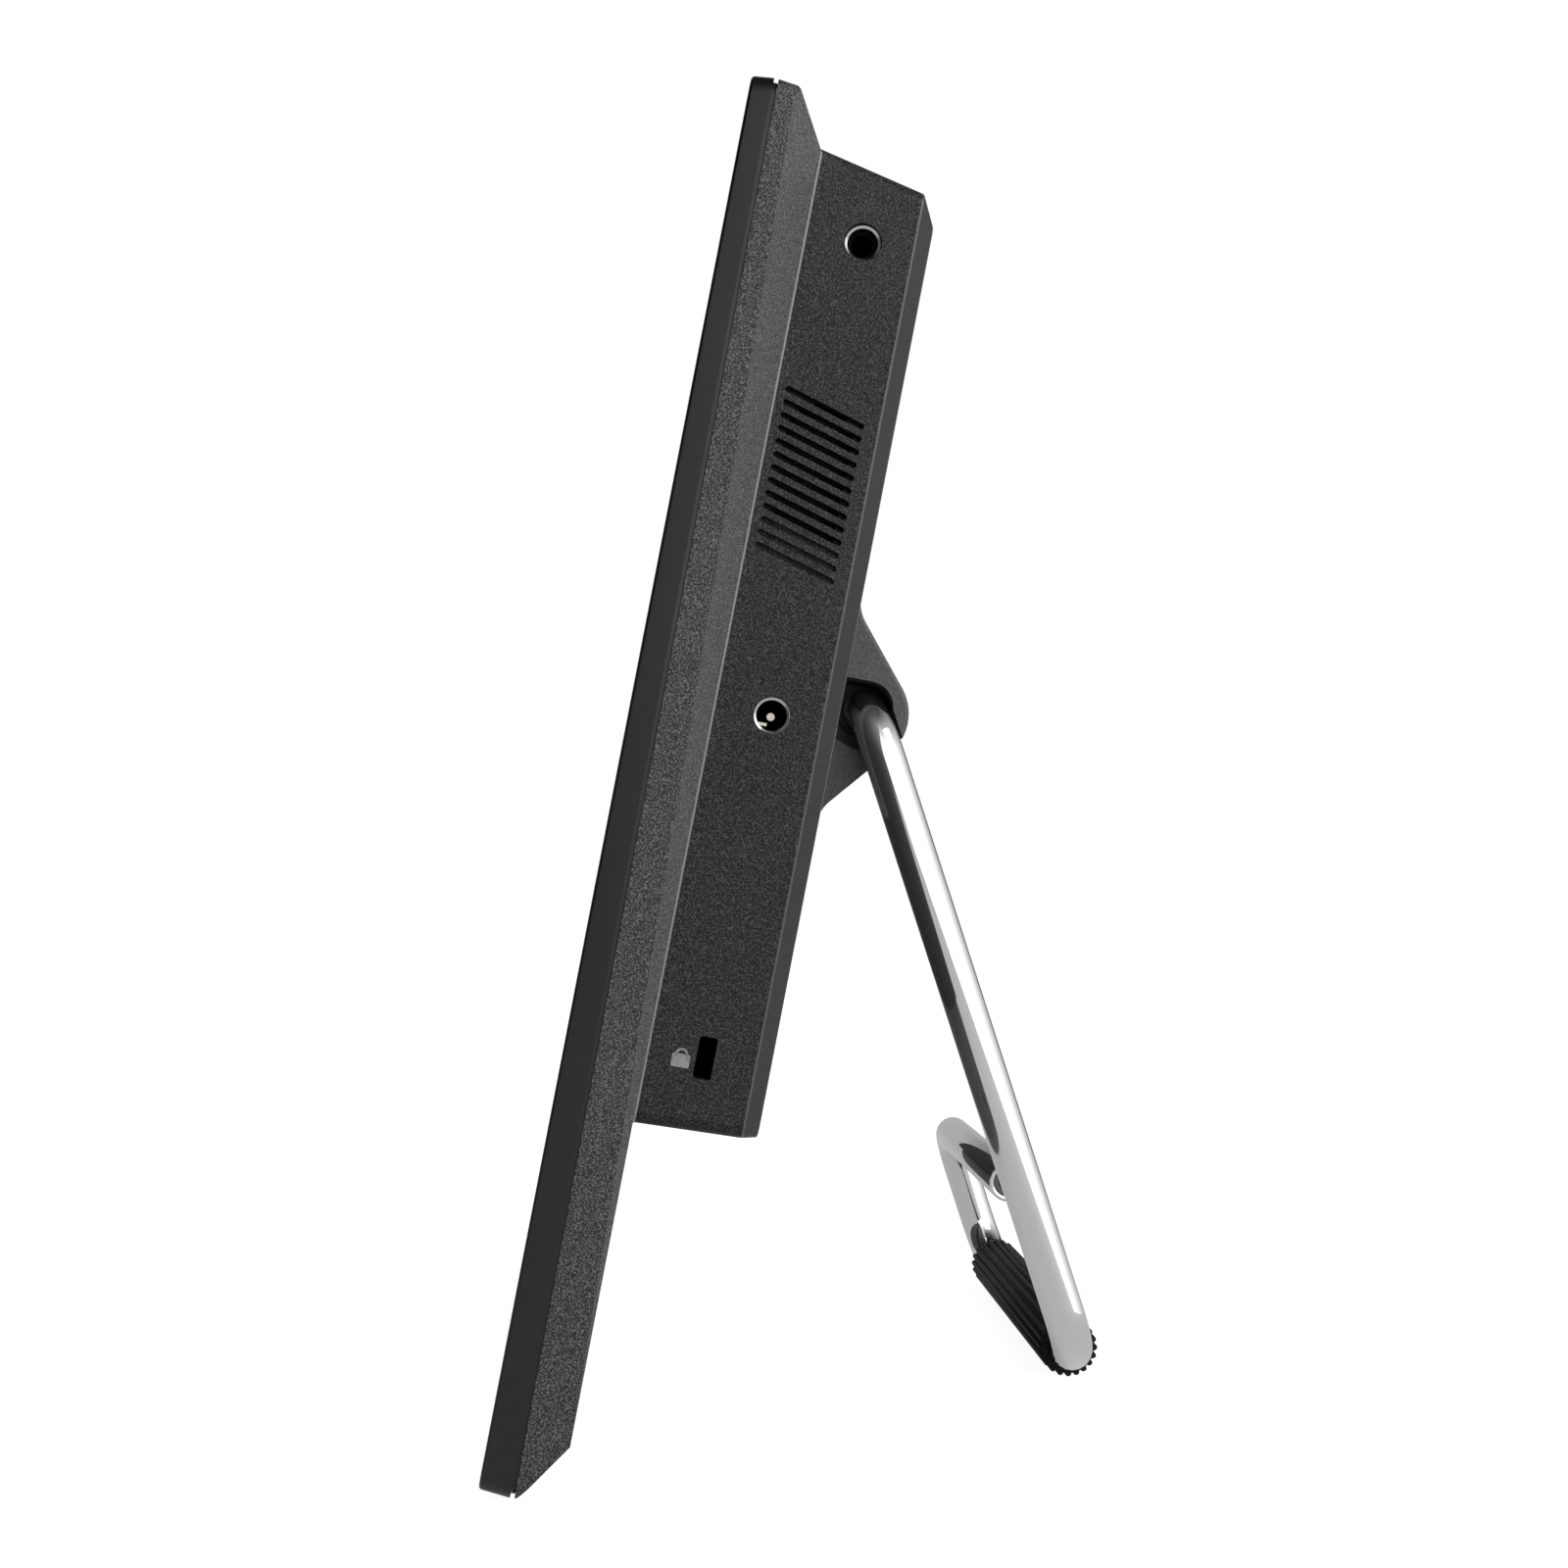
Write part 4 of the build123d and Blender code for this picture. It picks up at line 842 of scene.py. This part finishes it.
@dataclass
class Stand:
    """The bent chrome tube, the plug in its open end and its ribbed rubber sleeve."""

    place: Matrix
    leg_mm: float
    tube_radius_mm: float = 4.0
    bend_radius_mm: float = 10.0
    leg_x_mm: float = 61.0
    inner_end_mm: float = 8.0
    return_rise_mm: float = 32.7
    return_end_mm: float = 37.0
    sleeve_half_mm: float = 50.0
    sleeve_root_mm: float = 5.15
    rib_mm: float = 0.65
    rib_count: int = 20
    steps_round: int = 64
    steps_bend: int = 20
    steps_rib: int = 12
    lip_mm: tuple[tuple[float, float], ...] = (
        (3.9, 0.12), (3.627, 0.04), (3.0, -0.16), (3.0, -6.0))
    plug_back_mm: float = 0.25
    plug_mm: tuple[tuple[float, float], ...] = (
        (7.5, 0), (7.5, 2.98), (0.35, 2.98), (0.1, 2.86), (0, 2.63), (0, 2.2648), (0.1, 2.086),
        (0.6, 2.0264), (0.6, 1.5496), (0.1, 1.49), (0, 1.3112), (0, 0))
    sleeve_bore_mm: float = 4.05
    sleeve_round_mm: float = 0.3
    sleeve_pull_in: float = 0.95

    @classmethod
    def from_frame(cls) -> "Stand":
        """Finds the leg's line from the pivot to the middle of the sleeve's box.

        Returns:
            The stand, placed with x along the pivot and y down its leg.
        """
        joints = {joint["name"]: joint for joint in frame["joints"]}
        pivot = Vector(joints["stand_fold"]["pos_m"])
        low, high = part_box("stand_sleeve")
        bar = (low + high) / 2
        leg = Vector((0, bar.y - pivot.y, bar.z - pivot.z))
        down = leg.normalized()
        across = Vector((1, 0, 0))
        turn = Matrix((across, down, across.cross(down))).transposed().to_4x4()
        return cls(Matrix.Translation(pivot) @ turn @ Matrix.Scale(MM, 4), leg.length / MM)

    def build(self) -> None:
        """Makes the stand's three visible pieces."""
        self.tube()
        self.end_cap()
        self.sleeve()

    def tube(self) -> None:
        """One tube, drawn out straight and spun through each of its four bends."""
        mesh = bmesh.new()
        bend = self.bend_radius_mm
        ring = bmesh.ops.create_circle(mesh, segments=self.steps_round, radius=self.tube_radius_mm,
                                       matrix=Matrix.Translation((self.inner_end_mm, 0, 0))
                                       @ Matrix.Rotation(QUARTER_TURN, 4, "Y"))["verts"]
        runs = (self.leg_x_mm - self.inner_end_mm - bend, self.leg_mm - 2 * bend,
                2 * (self.leg_x_mm - bend), self.return_rise_mm - 2 * bend,
                self.leg_x_mm + self.return_end_mm - bend)
        heading, end = Vector((1, 0, 0)), Vector((self.inner_end_mm, 0, 0))
        for index, run in enumerate(runs):
            ring = self.draw_out(mesh, ring, heading * run)
            end = end + heading * run
            if index < len(runs) - 1:
                side = Vector((0, 0, 1)).cross(heading)
                ring = self.spin(mesh, ring, end + side * bend)
                end = end + (heading + side) * bend
                heading = side
        self.close_end(mesh, ring, end)
        bmesh.ops.recalc_face_normals(mesh, faces=mesh.faces)
        piece = new_object("stand_bent_tube", mesh, self.place)
        place_piece(piece, "stand", [Finishes.chrome], ["stand_tube"],
                    smooth_angle=50.0)

    @staticmethod
    def loop_edges(ring: Sequence[BMVert]) -> list[BMEdge]:
        """Finds the edges of a ring.

        Args:
            ring: the ring's vertices.

        Returns:
            The edges that join two of them.
        """
        return [edge for edge in {edge for vert in ring for edge in vert.link_edges}
                if edge.verts[0] in ring and edge.verts[1] in ring]

    @classmethod
    def draw_out(cls, mesh: BMesh, ring: Sequence[BMVert],
                 move: Vector) -> list[BMVert]:
        """Extrudes a ring along a straight run.

        Args:
            mesh: the bmesh.
            ring: the ring's vertices.
            move: the run.

        Returns:
            The new ring.
        """
        new = bmesh.ops.extrude_edge_only(mesh, edges=cls.loop_edges(ring))["geom"]
        verts = only(new, BMVert)
        bmesh.ops.translate(mesh, verts=verts, vec=move)
        return verts

    def spin(self, mesh: BMesh, ring: Sequence[BMVert],
             centre: Vector) -> list[BMVert]:
        """Spins a ring of the tube through a quarter turn.

        Args:
            mesh: the bmesh.
            ring: the ring's vertices.
            centre: the middle of the bend.

        Returns:
            The new ring.
        """
        turned = bmesh.ops.spin(mesh, geom=list(ring) + self.loop_edges(ring), cent=centre,
                                axis=(0, 0, 1), angle=QUARTER_TURN, steps=self.steps_bend)
        return only(turned["geom_last"], BMVert)

    def close_end(self, mesh: BMesh, ring: Sequence[BMVert],
                  end: Vector) -> None:
        """Rolls the open end over its wall and runs the bore a little way in.

        Args:
            mesh: the bmesh.
            ring: the last ring of the tube.
            end: the middle of that ring.
        """
        size = self.tube_radius_mm
        for radius, step in self.lip_mm:
            ring = self.draw_out(mesh, ring, Vector((step, 0, 0)))
            end = end + Vector((step, 0, 0))
            shrink = radius / size
            bmesh.ops.scale(mesh, vec=(1, shrink, shrink), verts=ring,
                            space=Matrix.Translation(-end))
            size = radius

    def end_cap(self) -> None:
        """Plug in the open end: a flat disc inside a ring, with a groove between them."""
        face = self.return_end_mm - self.plug_back_mm
        mesh = lathe([(face - behind, radius) for behind, radius in self.plug_mm])
        rise = self.leg_mm - self.return_rise_mm
        bmesh.ops.translate(mesh, verts=mesh.verts, vec=(0, rise, 0))
        piece = new_object("stand_end_plug", mesh, self.place)
        place_piece(piece, "stand", [Finishes.cap], ["stand_end_cap"])

    def rib_radius(self, angle: float) -> float:
        """Finds the sleeve's outside radius.

        Args:
            angle: the angle from its lowest rib.

        Returns:
            The radius in millimetres.
        """
        pitch = math.tau / self.rib_count
        away = (angle + pitch / 2) % pitch - pitch / 2
        reach = self.rib_mm ** 2 - (self.sleeve_root_mm * math.sin(away)) ** 2
        if reach <= 0:
            return self.sleeve_root_mm
        return self.sleeve_root_mm * math.cos(away) + math.sqrt(reach)

    def sleeve(self) -> None:
        """Moulded sleeve with lengthwise ribs, rounded in at both ends."""
        mesh = bmesh.new()
        down = self.place.inverted().to_3x3() @ Vector((0, 0, -1))
        first = math.atan2(down.z, down.y)
        ring = bmesh.ops.create_circle(mesh, segments=self.rib_count * self.steps_rib,
                                       radius=self.sleeve_root_mm,
                                       matrix=Matrix.Rotation(QUARTER_TURN, 4, "Y"))["verts"]
        for vert in ring:
            angle = math.atan2(vert.co.z, vert.co.y)
            vert.co *= self.rib_radius(angle - first) / self.sleeve_root_mm
        straight = self.sleeve_half_mm - self.sleeve_round_mm
        bmesh.ops.translate(mesh, verts=ring, vec=(-straight, 0, 0))
        last = self.draw_out(mesh, ring, Vector((2 * straight, 0, 0)))
        for loop, side in ((ring, -1), (last, 1)):
            edge = self.draw_out(mesh, loop, Vector((side * self.sleeve_round_mm, 0, 0)))
            bmesh.ops.scale(mesh, vec=(1, self.sleeve_pull_in, self.sleeve_pull_in), verts=edge)
            inner = self.draw_out(mesh, edge, Vector((0, 0, 0)))
            for vert in inner:
                vert.co.yz = vert.co.yz.normalized() * self.sleeve_bore_mm
        bmesh.ops.recalc_face_normals(mesh, faces=mesh.faces)
        bmesh.ops.translate(mesh, verts=mesh.verts, vec=(0, self.leg_mm, 0))
        piece = new_object("stand_ribbed_sleeve", mesh, self.place)
        place_piece(piece, "stand", [Finishes.rubber], ["stand_sleeve"],
                    smooth_angle=40.0)


@dataclass
class SideDetails:
    """What shows on the near side of the box: socket rings and the padlock mark."""

    place: Matrix
    depth_mm: float = 22.7
    side_x_mm: float = 133.93
    upper_z_mm: float = 209.15
    lower_z_mm: float = 130.95
    ring_radius_mm: float = 2.95
    mouth_radius_mm: float = 2.52
    ring_depth_mm: float = 1.7
    ring_edge_mm: float = 0.04
    ring_slope_mm: float = 0.28
    recess_mm: float = 0.9
    mark_depth_mm: float = 18.8
    mark_z_mm: float = 74.0
    lock_size_mm: tuple[float, float] = (3.0, 2.2)
    lock_drop_mm: float = 0.75
    lock_corner_mm: float = 0.3
    shackle_mm: tuple[float, float] = (0.72, 1.08)
    shackle_rise_mm: float = 0.25
    shackle_leg_mm: float = 0.35
    ink_mm: float = 0.03
    ink_gap_mm: float = 0.005
    side_slope: float = 2.0 / 18.0

    def build(self) -> None:
        """Makes the rings and the mark."""
        self.ring("upper_socket_rim", self.upper_z_mm, self.recess_mm, "headphone_socket_ring")
        self.ring("lower_socket_rim", self.lower_z_mm, 0.0, "power_socket_ring")
        self.mark()

    def ring(self, name: str, height: float, recess: float, node: str) -> None:
        """A turned and nickel-plated collar round a socket's mouth.

        Args:
            name: the piece's name.
            height: height of the socket above the seam.
            recess: how far the collar stands back from the side.
            node: the CAD node that it stands for.
        """
        face = self.side_x_mm - recess
        outer, mouth, edge = self.ring_radius_mm, self.mouth_radius_mm, self.ring_edge_mm
        back = face - self.ring_depth_mm
        mesh = lathe([(back, mouth), (back, outer), (face - edge, outer), (face, outer - edge),
                      (face - self.ring_slope_mm, mouth)], 64)
        bmesh.ops.translate(mesh, verts=mesh.verts, vec=(0, self.depth_mm, height))
        piece = new_object(name, mesh, self.place)
        place_piece(piece, "frame", [Finishes.nickel], [node])

    def mark(self) -> None:
        """A plain closed padlock, printed in light grey: a body and a bent shackle."""
        mesh = bmesh.new()
        body = bmesh.ops.create_grid(mesh, x_segments=1, y_segments=1, size=0.5)["verts"]
        bmesh.ops.scale(mesh, vec=(*self.lock_size_mm, 1), verts=body)
        bmesh.ops.translate(mesh, verts=body, vec=(0, -self.lock_drop_mm, 0))
        bmesh.ops.bevel(mesh, geom=list(mesh.verts), offset=self.lock_corner_mm, segments=3,
                        offset_type="OFFSET", affect="VERTICES", profile=0.5, material=-1)
        self.shackle(mesh)
        bmesh.ops.recalc_face_normals(mesh, faces=mesh.faces)
        new = bmesh.ops.extrude_face_region(mesh, geom=list(mesh.faces))["geom"]
        bmesh.ops.translate(mesh, verts=only(new, BMVert), vec=(0, 0, self.ink_mm))
        bmesh.ops.recalc_face_normals(mesh, faces=mesh.faces)
        upright = Matrix(((0, 0, 1), (1, 0, 0), (0, 1, 0))).to_4x4()
        lie = Matrix.Rotation(math.atan(self.side_slope), 4, "Z")
        side = self.side_x_mm + (self.depth_mm - self.mark_depth_mm) * self.side_slope
        spot = Matrix.Translation((side + self.ink_gap_mm, self.mark_depth_mm, self.mark_z_mm))
        bmesh.ops.transform(mesh, matrix=spot @ lie @ upright, verts=mesh.verts)
        piece = new_object("padlock_mark", mesh, self.place)
        place_piece(piece, "frame", [Finishes.ink])

    def shackle(self, mesh: BMesh) -> None:
        """Adds the padlock's shackle: a half ring with a short leg at each end.

        Args:
            mesh: the mark's bmesh, flat in x and y.
        """
        rise = self.shackle_rise_mm
        start = [mesh.verts.new((radius, rise, 0)) for radius in self.shackle_mm]
        end = bmesh.ops.spin(mesh, geom=start + [mesh.edges.new(start)], cent=(0, rise, 0),
                             axis=(0, 0, 1), angle=math.pi, steps=16)["geom_last"]
        for edges in ([mesh.edges.get(start)], only(end, BMEdge)):
            leg = bmesh.ops.extrude_edge_only(mesh, edges=edges)["geom"]
            bmesh.ops.translate(mesh, verts=only(leg, BMVert),
                                vec=(0, -self.shackle_leg_mm, 0))


class Dress(Enum):
    """CAD nodes that keep their own shape, by the finish that they take."""

    BOARD = (Finishes.board, ("main_board", "audio_board", "power_board", "card_board",
        "inverter_board", "button_board"))
    CONNECTOR = (Finishes.connector, ("board_chips", "clock_cell_holder", "inverter_parts",
        "speaker_frames", "tact_switches", "hinge_bushes"))
    SOCKET = (Finishes.socket, ("headphone_socket", "power_socket"))
    CREAM = (Finishes.cream, ("display_connector",))
    ZINC = (Finishes.zinc, ("lcd_frame", "chassis_plate", "hinge_bracket", "stand_collar",
        "spring_washer", "retaining_ring", "lock_plate", "shield_can", "card_reader",
        "usb_socket"))
    ALUMINIUM = (Finishes.aluminium, ("board_capacitors", "clock_cell"))
    CONTACT = (Finishes.contact, ("power_socket_pin", "power_socket_spring"))
    SCREW = (Finishes.screw, ("housing_screws", "plate_screws", "board_screws", "hinge_screws",
        "button_board_screws"))
    CONE = (Finishes.cone, ("speaker_cones",))
    FLEX = (Finishes.flex, ("display_cable",))
    LEAD = (Finishes.lead, ("speaker_leads",))
    TRAY = (Finishes.light_tray, ("backlight_unit",))
    RUBBER = (Finishes.rubber, ("base_feet",))
    BUTTON = (Finishes.button, ("menu_button", "previous_button", "select_button", "next_button",
        "back_button", "power_button"))


def dress_nodes(screen: Finish) -> None:
    """Gives every CAD node that keeps its own shape a better material.

    Args:
        screen: the finish of the screen's glass.
    """
    groups = [entry.value for entry in Dress] + [(screen, ("lcd_glass",))]
    for finish, names in groups:
        for name in names:
            node = frame["nodes"][name]
            node.data.materials.clear()
            node.data.materials.append(finish.material())
            log.info("%s is dressed in %s", name, finish.name)


# ---------------- studio
@dataclass
class Studio:
    """A pale floor, soft light from all round and the camera at the frame's side."""

    camera_x: float = 0.504
    camera_y: float = -0.02845
    camera_z: float = 0.09963
    lens_mm: float = 52.4
    shift: tuple[float, float] = (0.077, 0.0586)
    sensor_mm: float = 36.0
    clip_start: float = 0.01
    floor_size: float = 6.0
    floor_gap: float = 0.0001
    surround: float = 1.6
    overhead: float = 0.06
    dim_from: float = 0.35
    dim_to: float = 0.95
    key_watts: float = 5.0
    key_size: float = 0.9
    key_place: tuple[float, float, float] = (0.8, 0.9, 0.8)
    key_aim: tuple[float, float, float] = (0.0, 0.0, 0.12)
    ring: tuple[tuple[float, float], ...] = (
        (0.0, 0.3), (0.12, 0.3), (0.2, 0.02), (0.333, 0.02), (0.403, 0.14), (0.411, 0.04),
        (0.47, 0.03), (0.486, 1.0), (0.67, 1.0), (0.8, 0.5), (0.872, 0.3), (0.885, 0.05),
        (0.91, 0.05), (0.93, 0.3))

    def build(self) -> None:
        """Makes the floor, the surround, the lights and the camera."""
        self.floor()
        self.world()
        self.lights()
        self.camera()

    def floor(self) -> None:
        """A plain pale floor just under the feet, lit well enough to run into the surround."""
        mesh = bmesh.new()
        bmesh.ops.create_grid(mesh, x_segments=2, y_segments=2, size=self.floor_size / 2)
        floor = new_object("studio_floor", mesh, Matrix.Translation((0, 0, -self.floor_gap)))
        floor.data.materials.append(LitPaper("paper_floor_white", "bdbdbd", 0.9).material())

    def world(self) -> None:
        """Surround that is bright behind the stand and dark in front, and dimmer overhead."""
        world = bpy.data.worlds.new("soft_surround")
        world.use_nodes = True
        tree = world.node_tree
        tree.nodes.clear()
        where = add_node(tree, "TexCoord")
        axes = add_node(tree, "SeparateXYZ", links={0: where.outputs["Generated"]})
        turn = add_node(tree, "Math", {"operation": "ARCTAN2"},
                        links={0: axes.outputs["Y"], 1: axes.outputs["X"]})
        share = add_node(tree, "MapRange", values={"From Min": -math.pi, "From Max": math.pi},
                         links={"Value": turn.outputs[0]})
        ring = add_ramp(tree, share.outputs[0], [(at, grey(tone)) for at, tone in self.ring])
        rise = add_node(tree, "MapRange",
                        values={"From Min": self.dim_from, "From Max": self.dim_to,
                                "To Min": 1.0, "To Max": self.overhead},
                        links={"Value": axes.outputs["Z"]})
        dimmed = add_node(tree, "VectorMath", {"operation": "SCALE"},
                          links={0: ring, "Scale": rise.outputs[0]})
        seen = add_node(tree, "LightPath")
        plain = add_node(tree, "Background", values={"Color": grey(1.0), "Strength": 1.0})
        lit = add_node(tree, "Background", values={"Strength": self.surround},
                       links={"Color": dimmed.outputs[0]})
        both = add_node(tree, "MixShader", links={0: seen.outputs["Is Camera Ray"],
                                                  1: lit.outputs[0], 2: plain.outputs[0]})
        add_node(tree, "OutputWorld", links={"Surface": both.outputs[0]})
        bpy.context.scene.world = world

    def lights(self) -> None:
        """One large soft box behind the stand and over the near side."""
        lamp = bpy.data.lights.new("key_softbox", "AREA")
        lamp.energy, lamp.size = self.key_watts, self.key_size
        holder = bpy.data.objects.new("key_softbox", lamp)
        holder.location = self.key_place
        aim = Vector(self.key_aim) - Vector(self.key_place)
        holder.rotation_euler = aim.to_track_quat("-Z", "Y").to_euler()
        bpy.context.scene.collection.objects.link(holder)

    def camera(self) -> None:
        """Camera level with the case's middle, square on to its near side."""
        lens = bpy.data.cameras.new("side_camera")
        lens.lens, lens.sensor_width = self.lens_mm, self.sensor_mm
        lens.shift_x, lens.shift_y = self.shift
        lens.clip_start = self.clip_start
        holder = bpy.data.objects.new("side_camera", lens)
        holder.location = (self.camera_x, self.camera_y, self.camera_z)
        holder.rotation_euler = (QUARTER_TURN, 0, QUARTER_TURN)
        bpy.context.scene.collection.objects.link(holder)
        bpy.context.scene.camera = holder
        bpy.context.scene.view_settings.view_transform = "Standard"


def main() -> None:
    """Builds the sub-assemblies in order and reports what was made."""
    logging.basicConfig(level=logging.INFO, format="%(name)s: %(message)s")
    case = CasePlace.from_joints(pivot_depth_mm=43.2, pivot_height_mm=141.95).matrix()
    CaseShell(case).build()
    Stand.from_frame().build()
    SideDetails(case).build()
    dress_nodes(PanelGlass("panel_glass_etched", "050506", 0.32, to_case=case.inverted()))
    Studio().build()


if __name__ == "__main__":
    main()
